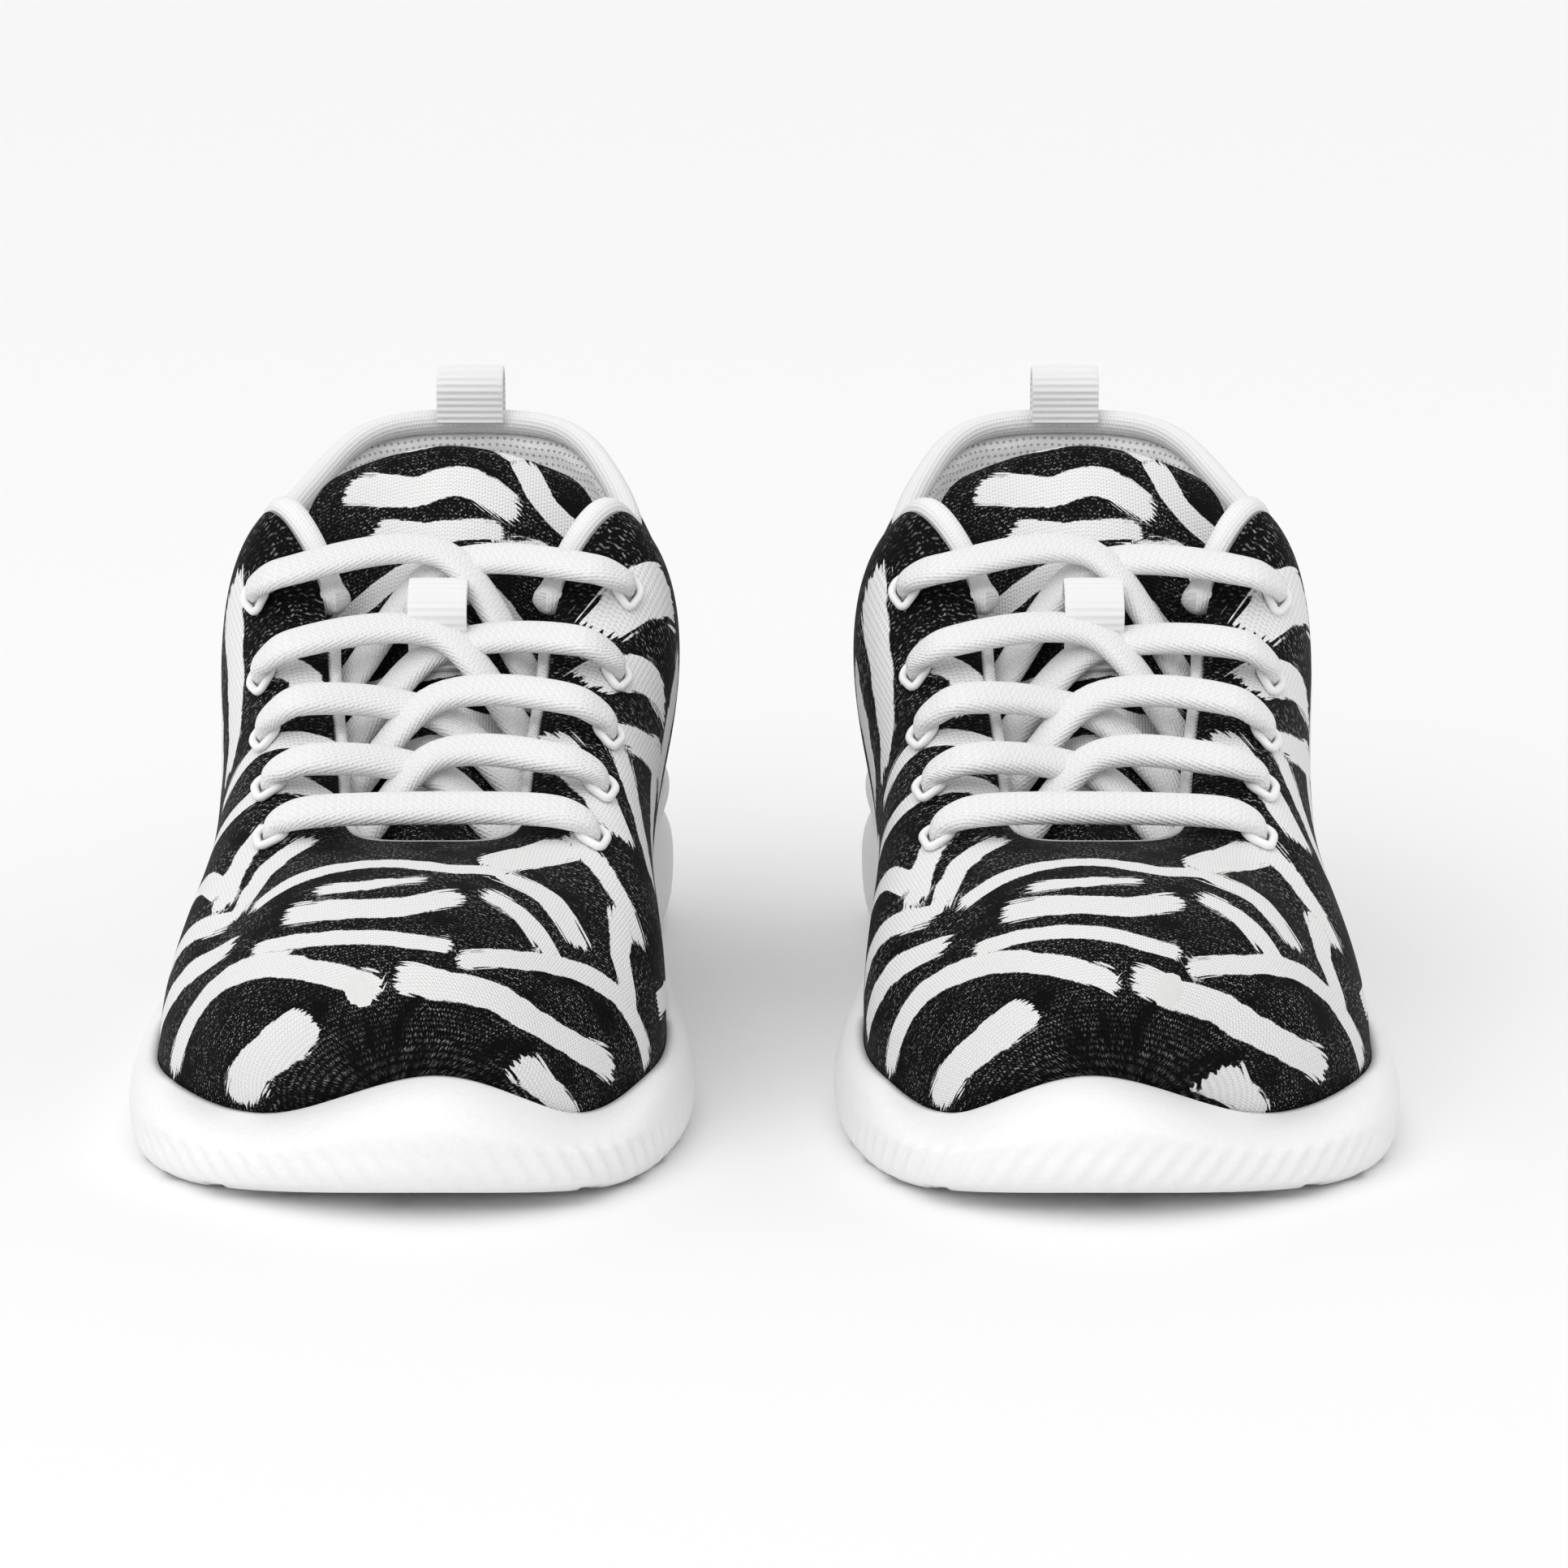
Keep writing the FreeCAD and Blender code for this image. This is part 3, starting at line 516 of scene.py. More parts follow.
sole_foam = grainy("sole_foam", grey(0.93), grey(0.82), 900, 0.00012, 0.62)
eyelet_plastic = grainy("eyelet_plastic", grey(0.90), grey(0.84), 700, 0.00003, 0.42)
aglet_plastic = grainy("aglet_plastic", grey(0.80), (0.72, 0.72, 0.73, 1), 500, 0.00002, 0.25)
board = grainy("board", (0.62, 0.60, 0.55, 1), (0.50, 0.47, 0.42, 1), 500, 0.00010, 0.9)
stiffener = grainy("stiffener", (0.74, 0.74, 0.72, 1), (0.62, 0.62, 0.60, 1), 700, 0.00008, 0.8)
padding = grainy("padding", (0.80, 0.80, 0.78, 1), (0.66, 0.66, 0.63, 1), 900, 0.00030, 0.95)
insole_fabric = white_yarn("insole_fabric", 1.2, 1.0, 0.00025, 0.82)
print("foam, plastic and hidden finishes made")

# %% [markdown]
# ## The printed knit
# The upper is a black knit with broad white brush marks printed on it. The marks are a
# short list of strokes on a flat pattern, and each vertex stores how far inside a stroke
# it lies. The shader frays that edge with noise, drags dry bristle lines out of the ends
# and shows the stitches through the ink, so the print stays sharp at any distance.

# %% Printed knit material
def make_printed_knit():
    maker = Maker("printed_knit", 0.68, Specular_IOR_Level=0.05)
    uv, x, y = maker.surface()
    ink, hair, tip = (maker.attribute(name) for name in ("ink", "hair", "tip"))
    ragged = maker.noise(uv, 1.1, 4.0, 0.65) - 0.5
    broad = maker.noise(uv, 0.16, 2.0) - 0.5
    bristle = maker.noise(maker.combine(hair * 1.6, x * 0.05 + y * 0.05), 1.0, 2.0) - 0.5
    edge = ink + ragged * 1.1 + broad * 1.8 + bristle * tip * 7.0
    dry = (maker.noise(maker.combine(hair * 2.4, (x + y) * 0.12), 1.0, 2.0) - 0.5) * tip
    paint = (edge - dry.step(0.12, 0.3) * 1.6).step(-0.12, 0.22)
    chevron = ((x / 1.3).math("FRACT") - 0.5).math("ABSOLUTE")
    stitch = (y + chevron * 0.9).wave(0.95)
    wale = x.wave(0.65)
    loops = stitch * 0.6 + wale * 0.4
    patch = maker.noise(uv, 0.09, 3.0, 0.6)
    sparkle = maker.noise(maker.combine(x * 1.5, y * 0.9), 1.0, 2.0, 0.7)
    speck = sparkle.step(0.49, 0.66) * stitch.step(0.35, 0.85) * patch.step(0.34, 0.60)
    black = maker.mix(speck * 0.8, (0.003, 0.003, 0.0035, 1), grey(0.38))
    white = maker.mix(loops.step(0.1, 0.7), (0.70, 0.70, 0.69, 1), grey(0.87))
    colour = maker.mix(paint, black, white)
    height = loops * 0.8 + sparkle * 0.3
    return maker.finish(colour, height, 0.00022, roughness=paint * 0.22 + 0.62)


printed_knit = make_printed_knit()
print("printed knit made")

# %% Strokes of the print
# half width and points (across the foot, along it) of each stroke on the flat pattern
MARKS = [
    (5.0, ((-38, -131), (-50, -131), (-66, -127))),
    (3.4, ((54, -138), (61, -138), (71, -134))),
    (3.7, ((-64, -98), (-50, -101), (-36, -110), (-22, -121), (-8, -128))),
    (2.5, ((-34, -104), (-22, -109), (-8, -113), (4, -116), (12, -117))),
    (4.1, ((4, -127), (16, -129), (30, -128), (44, -128), (56, -123), (62, -116))),
    (3.2, ((20, -120), (30, -114), (42, -104), (52, -97), (64, -92))),
    (2.7, ((-32, -84), (-20, -80), (-6, -80), (8, -84), (19, -82))),
    (3.9, ((-24, -97), (-12, -101), (0, -103), (10, -99))),
    (2.2, ((-18, -90), (-8, -92), (2, -91))),
    (3.4, ((22, -84), (30, -86), (38, -93))),
    (3.0, ((20, -95), (28, -98), (35, -104))),
    (2.7, ((43, -76), (47, -86), (53, -92))),
    (4.8, ((19, -76), (28, -62))),
    (2.4, ((30, -57), (38, -67), (47, -76))),
    (2.6, ((-37, -80), (-31, -68), (-24, -59))),
    (2.3, ((-40, -72), (-35, -60), (-30, -52))),
    (2.8, ((-56, -66), (-48, -72), (-40, -80))),
    (3.0, ((-62, -78), (-52, -84), (-42, -92))),
    (2.4, ((-48, -50), (-42, -58), (-40, -66))),
    (2.6, ((-24, 24), (-27, 12), (-31, -2), (-34, -10))),
    (2.3, ((-33, 26), (-36, 12), (-40, 0))),
    (2.3, ((-22, 0), (-18, -8), (-22, -16))),
    (2.5, ((-36, -20), (-28, -22), (-18, -26))),
    (2.6, ((-42, -34), (-34, -38), (-24, -38), (-18, -42))),
    (2.8, ((22, -6), (27, 4), (31, 10))),
    (2.4, ((28, -18), (33, -8), (37, 4))),
    (3.0, ((20, -26), (27, -36), (35, -48))),
    (2.6, ((29, -22), (36, -33), (44, -46))),
    (2.5, ((37, -2), (42, -16), (48, -30), (56, -42))),
    (2.9, ((25, 26), (22, 16), (20, 8))),
    (2.4, ((32, 28), (36, 15), (40, 4))),
]
# shapes that repeat over the sides and the heel, and where: across, along, turn in degrees
SHAPES = {
    "dash": (2.7, ((-13, 1), (0, -1), (13, 0))),
    "wave": (2.4, ((-20, 2), (-9, -2), (2, 2), (11, -1.5), (20, 1.5))),
    "arc": (2.5, ((-16, -5), (-8, 2), (3, 4), (16, -2))),
    "leaf": (3.6, ((-11, -2), (0, 1), (11, 2))),
    "twig": (2.3, ((-17, 4), (-4, 2), (6, -2), (17, -3))),
}
SPREAD = (
    ("twig", 58, -60, 60), ("wave", 52, -18, 75), ("arc", 62, 4, 95), ("dash", 47, 14, 70),
    ("leaf", 54, 36, 40), ("dash", 36, 44, 20), ("wave", 60, 62, 100), ("twig", 42, 66, 60),
    ("arc", 30, 84, 30), ("leaf", 48, 94, 75), ("dash", 18, 96, 80), ("wave", 34, 112, 95),
    ("dash", 52, 120, 60), ("arc", 14, 126, 70), ("leaf", 32, 140, 20), ("twig", 50, 150, 85),
    ("dash", 10, 152, 40), ("arc", 28, 164, 80), ("dash", 62, -34, 110), ("dash", 66, 28, 80),
    ("arc", -58, -42, 80), ("wave", -50, -12, 105), ("leaf", -60, 14, 120), ("dash", -46, 28, 60),
    ("twig", -56, 46, 80), ("arc", -36, 52, 150), ("dash", -62, 70, 100), ("leaf", -44, 80, 50),
    ("wave", -26, 86, 100), ("dash", -54, 100, 140), ("arc", -12, 104, 60), ("twig", -36, 116, 70),
    ("dash", -20, 132, 100), ("leaf", -48, 134, 90), ("wave", -34, 154, 80), ("dash", -10, 156, 60),
    ("dash", -54, 162, 45), ("dash", -64, -10, 95),
)
TONGUE_MARKS = (
    (2.8, ((-20, 55), (-8, 52), (6, 54), (14, 50))),
    (4.0, ((-20, 42), (-8, 37), (4, 39), (12, 35))),
    (2.6, ((-14, 29), (-2, 26), (10, 28))),
    (3.2, ((17, 46), (22, 38), (30, 34))),
    (2.8, ((14, 24), (22, 26), (28, 20))),
    (2.6, ((-34, 32), (-29, 27), (-25, 18))),
    (2.8, ((-22, 12), (-8, 17), (6, 15), (18, 6))),
    (2.4, ((-16, 2), (-6, 5), (4, 2))),
    (2.4, ((-20, -8), (-8, -12), (6, -9), (18, -12))),
    (3.6, ((-16, -26), (-4, -22), (8, -25), (18, -22))),
    (2.8, ((-14, -38), (0, -35), (14, -40))),
    (3.2, ((-16, -54), (-2, -50), (14, -56))),
)


def rounded(points, steps=6):
    """More points along a smooth line through the given ones."""
    points = np.asarray(points, float)
    padded = np.vstack([2 * points[0] - points[1], points, 2 * points[-1] - points[-2]])
    line = []
    for a, b, c, d in zip(padded, padded[1:], padded[2:], padded[3:]):
        for f in np.arange(steps) / steps:
            line.append(0.5 * (2 * b + (c - a) * f + (2 * a - 5 * b + 4 * c - d) * f ** 2
                               + (3 * b - a - 3 * c + d) * f ** 3))
    return np.array(line + [points[-1]])


def painted(places, marks):
    """How far inside a stroke each place is, where across it, and how near its end."""
    shape = places.shape[:-1]
    places = places.reshape(-1, 2)
    ink = np.full(len(places), -9.0)
    hair = np.zeros(len(places))
    tip = np.zeros(len(places))
    for half, points in marks:
        line = rounded(points)
        travel = lengths(line[:, None], 0)[:, 0]
        for start, end, before, after in zip(line, line[1:], travel, travel[1:]):
            along = (end - start) / max(after - before, 1e-6)
            offset = places - start
            reach = np.clip(offset @ along, 0, after - before)
            gap = offset - reach[:, None] * along
            distance = np.hypot(gap[:, 0], gap[:, 1])
            nearer = half - distance > ink
            lateral = offset @ np.array((-along[1], along[0]))
            from_end = np.minimum(before + reach, travel[-1] - before - reach)
            ink[nearer] = (half - distance)[nearer]
            hair[nearer] = lateral[nearer]
            tip[nearer] = (1 - smooth(from_end / 9))[nearer]
    return {"ink": ink.reshape(shape), "hair": hair.reshape(shape), "tip": tip.reshape(shape)}


laid = np.vstack([rounded(points) for half, points in MARKS])
laid_half = np.concatenate([np.full(len(rounded(points)), half) for half, points in MARKS])
SHIFTS_ACROSS, SHIFTS_ALONG, TURNS = (0, -5, 5, -9, 9), (0, -6, 6, -12, 12), (0, -30, 30)
ENOUGH_GROUND, LEAST_GROUND, COST_OF_MOVING = 3.0, 1.2, 0.02


def clearance(half, line):
    """Free ground between a new stroke and the strokes already laid down."""
    between = np.hypot(line[:, :1] - laid[:, 0], line[:, 1:] - laid[:, 1])
    return (between - laid_half).min() - half


# each repeated stroke moves to the freest ground near its place, so that none cross
for shape, across, along, turn in SPREAD:
    half, points = SHAPES[shape]
    choices = []
    for dx, dy, more in itertools.product(SHIFTS_ACROSS, SHIFTS_ALONG, TURNS):
        c, s = math.cos(math.radians(turn + more)), math.sin(math.radians(turn + more))
        line = [(across + dx + c * x - s * y, along + dy + s * x + c * y) for x, y in points]
        gap = clearance(half, rounded(line))
        score = min(gap, ENOUGH_GROUND) - COST_OF_MOVING * math.hypot(dx, dy)
        choices.append((score, gap, line))
    score, gap, line = max(choices, key=lambda choice: choice[0])
    if gap > LEAST_GROUND:
        MARKS.append((half, line))
        line = rounded(line)
        laid = np.vstack([laid, line])
        laid_half = np.concatenate([laid_half, np.full(len(line), half)])
print(len(MARKS), "strokes on the upper and", len(TONGUE_MARKS), "on the tongue")

# %% [markdown]
# ## Sole
# The sole is one block of light foam. Its wall swells out under the foot, pinches in below
# the rim at the heel and carries shallow slanted flutes along its lower edge. We sweep a
# profile round the outline, then shrink the last ring onto the middle line to close the
# underside, where grooves cross the tread.

# %% Wall of the sole
def wall_weights(w):
    """Weights of nine control points on a clamped smooth curve, for w from 0 to 1."""
    spans = 6
    knots = np.array([0] * 3 + list(range(spans + 1)) + [spans] * 3, float)
    u = np.clip(np.asarray(w, float), 0, 1 - 1e-9) * spans
    basis = ((u[..., None] >= knots[:-1]) & (u[..., None] < knots[1:])).astype(float)
    for degree in (1, 2, 3):
        left = knots[degree:-1] - knots[:-degree - 1]
        right = knots[degree + 1:] - knots[1:-degree]
        rise = (u[..., None] - knots[:-degree - 1]) / np.where(left > 0, left, 1) * (left > 0)
        fall = (knots[degree + 1:] - u[..., None]) / np.where(right > 0, right, 1) * (right > 0)
        basis = rise * basis[..., :-1] + fall * basis[..., 1:]
    return basis


def plan_normal(name, t):
    """Level direction away from the foot, square to one of the curves."""
    along = loop(name, t + 0.01) - loop(name, t - 0.01)
    return unit(np.stack([along[..., 1], -along[..., 0], 0 * along[..., 0]], axis=-1))


def wall_point(t, w):
    """Outer wall of the sole: w is 0 at the underside and 1 at the rim."""
    line, foot, out = loop("outline", t), loop("foot", t), plan_normal("outline", t)
    rim = foot + plan_normal("foot", t) * 1.6
    heel = np.exp(-((t - HEEL) / 3.2) ** 2)[..., None]
    lift = ground(line[..., 1])[..., None]
    top = rim[..., 2:3]
    tall = top - lift
    line = np.concatenate([line[..., :2], 0 * top], axis=-1)
    rim = np.concatenate([rim[..., :2], 0 * top], axis=-1)
    shoulder = line * 0.45 + rim * 0.55 + out * 1.2
    up = np.array((0, 0, 1.0))
    poles = np.stack([
        line - out * 5.5 - 8 * up, line - out * 5.0 + (lift - 1) * up,
        line - out * 0.2 + (lift + 0.03 * tall) * up,
        line + out * 0.9 + (lift + 0.33 * tall) * up,
        line + out * 0.9 + (lift + 0.62 * tall) * up,
        line - out * (4.2 * heel - 0.3 * (1 - heel)) + (lift + (0.70 + 0.05 * heel) * tall) * up,
        shoulder + out * 0.6 * heel + (lift + 0.90 * tall) * up,
        rim + out * 0.7 + (top - 0.2) * up, rim + top * up], axis=-2)
    return (wall_weights(w)[..., None] * poles).sum(-2)


print("rim of the sole at the toe", np.round(wall_point(np.array(0.0), np.array(1.0)), 1))

# %% Sole mesh
FLUTE_PITCH, FLUTE_DEPTH = 4.5, 0.65
GROOVE_PITCH, GROOVE_DEPTH, CHEVRON = 12, 2.2, 0.12


def middle_line(line, front, back):
    """Points on the shoe's middle plane, level with those of a line round the foot."""
    return np.stack([0 * line[:, 0], np.clip(line[:, 1], front, back), 0 * line[:, 0]], axis=-1)


def sole_table(steps=700):
    """Rows of points from the floor inside, over the rim, down the wall and underneath."""
    t = np.linspace(0, COUNT, steps + 1)
    around = lengths(loop("outline", t)[:, None], 0)[:, 0]
    flutes = round(around[-1] / FLUTE_PITCH)
    turn = around / around[-1] * flutes
    columns = []
    floor_edge = layer_point(t, SKIRT, -0.2)
    spine = middle_line(floor_edge, -95, 100)
    for share in np.linspace(1.0, 0.0, 8):
        inner = spine + (floor_edge - spine) * (1 - share)
        inner[:, 2] = floor_height(inner[:, 1]) - 0.3
        columns.append(inner)
    for v in np.linspace(SKIRT, 0.0, 4):
        columns.append(layer_point(t, v, -0.2))
    out = plan_normal("outline", t)
    for w in np.concatenate([np.linspace(1.0, 0.93, 4), np.linspace(0.90, 0.16, 44)]):
        wall = wall_point(t, np.full(t.shape, w))
        lift = ground(wall[:, 1])
        high = wall[:, 2] - lift
        fade = smooth((high - 0.2) / 2.0) * (1 - smooth((high - 5.5) / 4.5))
        wave = 0.5 - 0.5 * np.cos(2 * np.pi * (turn + high * 0.16))
        wall -= out * (fade * FLUTE_DEPTH * (1 - wave ** 2))[:, None]
        wall[:, 2] = np.maximum(wall[:, 2], lift)
        columns.append(wall)
    rim = columns[-1]
    spine = middle_line(rim, -100, 104)
    for share in np.linspace(0.0, 1.0, 34)[1:]:
        under = rim + (spine - rim) * share
        x, y = under[:, 0], under[:, 1]
        sign = np.where(y < 0, 1, -1)
        slant = np.abs((y - sign * x * CHEVRON + 8) % GROOVE_PITCH - GROOVE_PITCH / 2)
        cross = smooth((2.2 - slant) / 0.9) * ((y < -4) | (y > 30)) * (y > -121) * (y < 122)
        long_groove = ((y > -120) & (y < -24)) | ((y > 46) & (y < 116))
        middle = smooth((2.4 - np.abs(x)) / 0.8) * long_groove
        groove = np.maximum(cross, middle)
        under[:, 2] = ground(y) + GROOVE_DEPTH * groove
        columns.append(under)
    return np.stack(columns, axis=1)


table = sole_table()
for side in SIDES:
    sole = grid_piece(f"{side}_sole", table, side, plain_flat(table), outward=False)
    place_piece(sole, f"{side}_shoe", "sole_foam", sole_foam, f"{side}_sole_unit")
print("soles:", len(sole.data.polygons), "faces each")

# %% [markdown]
# ## Upper
# The knit is one smooth skin from the sole to the opening. It is a fine grid, so that the
# print can be stored on its vertices. We cut the eyelet holes by removing the faces near
# each centre, and a Solidify modifier gives the skin its thickness inwards.

# %% Eyelet places
EYELET_HOLE, KNIT_THICKNESS = 2.7, 1.6
# distance from the middle, and place along the shoe, of each row of eyelets
EYELET_ROWS = ((29.4, -55), (30.8, -38), (32.2, -20.5), (33.8, -2.5), (36.0, 15.5))


def place_above(x, y, t, v):
    """Station and height of the upper's outer face at x and y, starting near t and v."""
    for _ in range(12):
        here = upper_point(t, v)
        by_t = (upper_point(t + 0.01, v) - here) * 100
        by_v = (upper_point(t, v + 0.005) - here) * 200
        step = np.linalg.solve(np.stack([by_t[:2], by_v[:2]], axis=1),
                               np.array((x, y)) - here[:2])
        t, v = t + step[0], v + step[1]
    return t, v


EYELETS = {}
for way in (1, -1):
    for row, (reach, y) in enumerate(EYELET_ROWS):
        guess = 2.2 + row
        t, v = place_above(lean(y) + way * reach, y, guess if way > 0 else COUNT - guess, 0.82)
        EYELETS[way, row] = (upper_point(t, v), upper_normal(t, v))
print("front inner eyelet at", np.round(EYELETS[1, 0][0], 1))

# %% Flat pattern and upper mesh
PATTERN_LENGTH = 170


def pattern_place(points, t, side):
    """Where each point of the upper lies on the flat printed pattern."""
    x, y, z = points[..., 0], points[..., 1], points[..., 2]
    shown = -SIDES[side] * x
    front = 42 * np.arctan2(shown, z - 18)
    near = np.abs(t - HEEL)
    heel = smooth((4.6 - near) / 2.4)
    turned = np.where(t < HEEL, -1, 1) * SIDES[side]
    back = turned * (66 - 0.8 * (z - 18))
    stations = np.linspace(0, COUNT, 481)
    travel = lengths(loop("bulge", stations)[:, None], 0)[:, 0]
    round_heel = np.interp(HEEL, stations, travel) - np.interp(HEEL - near, stations, travel)
    along_side = PATTERN_LENGTH - round_heel
    fold = smooth((-85 - y) / 40)
    along_front = y - fold * np.maximum(50 - z, 0) * 0.8
    return np.stack([front * (1 - heel) + back * heel,
                     along_front * (1 - heel) + along_side * heel], axis=-1)


def make_upper(side, around=460, height=64):
    """The printed knit, cut at the eyelets and thickened."""
    t = np.linspace(0, COUNT, around + 1)[:, None]
    v = np.concatenate([[SKIRT], np.linspace(-0.06, 1.0, height)])[None]
    points = upper_point(t, v)
    t, v = np.broadcast_arrays(t, v)
    flat = pattern_place(points, t, side)
    piece = grid_piece(f"{side}_upper_knit", points, side, flat, painted(flat, MARKS))
    form = bmesh.new()
    form.from_mesh(piece.data)
    for centre, out in EYELETS.values():
        middle = Vector((SIDES[side] * (HALF_SPACING - centre[0]), centre[1], centre[2])) * MM
        near = [face for face in form.faces
                if (face.calc_center_median() - middle).length < (EYELET_HOLE - 0.2) * MM]
        rim = {vert for face in near for vert in face.verts}
        bmesh.ops.delete(form, geom=near, context="FACES")
        for vert in rim:
            if vert.is_valid and vert.link_faces:
                away = vert.co - middle
                vert.co = middle + away.normalized() * EYELET_HOLE * MM
    form.to_mesh(piece.data)
    form.free()
    thicken(piece, "knit thickness", KNIT_THICKNESS)
    return piece


for side in SIDES:
    knit = make_upper(side)
    place_piece(knit, f"{side}_shoe", "printed_knit", printed_knit, f"{side}_upper")
print("uppers:", len(knit.data.polygons), "faces each before they are thickened")

# %% [markdown]
# ## Rolled edges
# The collar ends in a soft knitted roll, and a thin cord runs round the throat. Both are
# tubes: a ring of points is carried along a line, and the same helper later makes the
# eyelets and the lace, whose section is a flat oval.

# %% Tube helper
def signed_power(value, power):
    """Squares off a sine or a cosine, so that a round section turns into an oblong one."""
    return np.sign(value) * np.abs(value) ** power


def tube_table(line, across, wide, thick, around=16, power=1.0):
    """Rings of points along a line. across is the direction of the section's long side."""
    line = np.asarray(line, float)
    along = unit(np.gradient(line, axis=0))
    across = np.broadcast_to(across, line.shape)
    across = unit(across - along * (across * along).sum(-1, keepdims=True))
    over = np.cross(along, across)
    angle = np.linspace(0, 2 * np.pi, around + 1)
    c, s = signed_power(np.cos(angle), power), signed_power(np.sin(angle), power)
    wide, thick = (np.broadcast_to(q, len(line))[:, None, None] for q in (wide, thick))
    return (line[:, None] + across[:, None] * wide * c[None, :, None]
            + over[:, None] * thick * s[None, :, None])


def tube_flat(table):
    along = lengths(table.mean(1)[:, None], 0)[:, 0]
    return np.stack(np.broadcast_arrays(lengths(table, 1), along[:, None]), axis=-1)


def make_tube(name, side, line, across, wide, thick, around=16, power=1.0):
    table = tube_table(line, across, wide, thick, around, power)
    return grid_piece(name, table, side, tube_flat(table), close_ends=True)


print("tube helper ready")

# %% Collar binding and throat piping
ROLL_FROM, ROLL_RADIUS = 5.75, 2.55
PIPING_TO, PIPING_RADIUS = 5.5, 1.35


def make_binding(side):
    """A roll round the collar that swells into a small knob at each front end."""
    t = np.linspace(ROLL_FROM, COUNT - ROLL_FROM, 260)
    line = edge_line(t, 2.45, 2.0)
    travel = lengths(line[:, None], 0)[:, 0]
    near_end = np.minimum(travel, travel[-1] - travel)
    knob = np.exp(-((near_end - 2.8) / 2.2) ** 2)
    tip = np.sqrt(np.clip(near_end / 1.8, 0.02, 1))
    radius = (ROLL_RADIUS + 0.9 * knob) * tip
    return make_tube(f"{side}_binding_roll", side, line, upper_normal(t, 1.0), radius, radius, 18)


def make_piping(side):
    t = np.linspace(-PIPING_TO, PIPING_TO, 200)
    line = edge_line(t, PIPING_RADIUS, 1.3)
    near_end = PIPING_TO - np.abs(t)
    radius = PIPING_RADIUS * np.sqrt(np.clip(near_end / 0.1, 0.05, 1))
    return make_tube(f"{side}_piping", side, line, upper_normal(t, 1.0), radius, radius, 12)


for side in SIDES:
    place_piece(make_binding(side), f"{side}_shoe", "white_knit", white_knit,
                f"{side}_collar_binding", padded=0.7)
    place_piece(make_piping(side), f"{side}_shoe", "white_knit", piping_weave,
                f"{side}_throat_piping")
print("rolled edges made")

# %% [markdown]
# ## Padding
# The collar is lined with a mesh over soft foam, so it swells inwards below the roll and
# thins out towards the sole. The tongue is a flat pad of the same foam, printed outside.
# Each is a closed skin whose thickness is a smooth formula, crowned between its edges.

# %% Collar lining
LINING_FROM, LINING_DEPTH = 6.85, 3.2


def swell(v):
    """How far the padding pushes the lining inwards."""
    return 3.2 * smooth((v - 0.35) / 0.25) * (1 - 0.5 * smooth((v - 0.85) / 0.12))


def make_lining(side):
    t = np.linspace(LINING_FROM, COUNT - LINING_FROM, 150)[:, None]
    v = np.linspace(-0.05, 1.0, 44)[None]
    t, v = np.broadcast_arrays(t, v)
    ends = np.minimum(t - LINING_FROM, COUNT - LINING_FROM - t)
    crown = swell(v) * (0.55 + 0.45 * smooth(ends / 1.2))
    pucker = 0.25 * np.sin(t * 9.0) * smooth((v - 0.7) / 0.2)
    points = layer_point(t, v, LINING_DEPTH + crown + pucker)
    points = np.where((v > 0.995)[..., None], layer_point(t, 1.0, 2.6 + 0 * t), points)
    piece = grid_piece(f"{side}_collar_pad", points, side, plain_flat(points), outward=False)
    thicken(piece, "lining thickness", 0.7)
    return piece


for side in SIDES:
    place_piece(make_lining(side), f"{side}_shoe", "lining_mesh", lining_mesh,
                f"{side}_collar_lining", padded=0.5)
print("collar linings made")

# %% Tongue
# centre line of the outer face: y, z, half width and how far the sides drop
TONGUE = ((-67, 44.5, 17.0, 4.5), (-52, 48.0, 20.0, 11.0), (-34, 54.7, 23.5, 15.0),
          (-16, 62.8, 26.0, 16.0), (2, 72.4, 27.5, 17.0), (20, 85.5, 29.0, 17.0),
          (35, 98.5, 30.5, 16.0), (45, 106.5, 28.5, 12.5), (50, 109.0, 22.0, 8.0))
TONGUE_SPAN, TONGUE_TOP = len(TONGUE) - 1, 6.5
TONGUE_CURVE = spline_controls(TONGUE, False)


def tongue_frame(s):
    """Centre of the tongue at station s, its form and its outward direction."""
    form = spline_value(TONGUE_CURVE, s, False)
    near = np.minimum(s, TONGUE_TOP)
    ahead = spline_value(TONGUE_CURVE, near + 0.01, False)
    along = unit((ahead - spline_value(TONGUE_CURVE, near - 0.01, False))[..., :2])
    zero = 0 * form[..., 0]
    centre = np.stack([zero, form[..., 0], form[..., 1]], axis=-1)
    return centre, form, np.stack([zero, -along[..., 1], along[..., 0]], axis=-1)


def tongue_point(s, across, depth):
    """A point of the tongue, from -1 to 1 across it, at a depth under its outer face."""
    centre, form, out = tongue_frame(s)
    fall = form[..., 3] * np.abs(across) ** 1.7 + depth * (1 - 0.35 * across ** 2)
    shift = lean(centre[..., 1]) + form[..., 2] * across
    return centre + np.stack([shift, 0 * shift, 0 * shift], axis=-1) - out * fall[..., None]


def tongue_shell(low, high, wide=100, long=150, round_edge=0.9):
    """A closed pad between two depths whose edges are rounded off."""
    s = np.linspace(0, TONGUE_SPAN, long)[:, None]
    loop_angle = np.linspace(0, 2 * np.pi, wide + 1)[None]
    middle, half = (low + high) / 2, (high - low) / 2
    across = signed_power(np.cos(loop_angle), 0.75)
    rise = signed_power(np.sin(loop_angle), 0.5)
    crown = smooth(np.minimum(s, TONGUE_SPAN - s) / round_edge * 0.9 + 0.12)
    s, across = np.broadcast_arrays(s, across)
    return s, across, tongue_point(s, across, middle - half * rise * np.sqrt(crown))


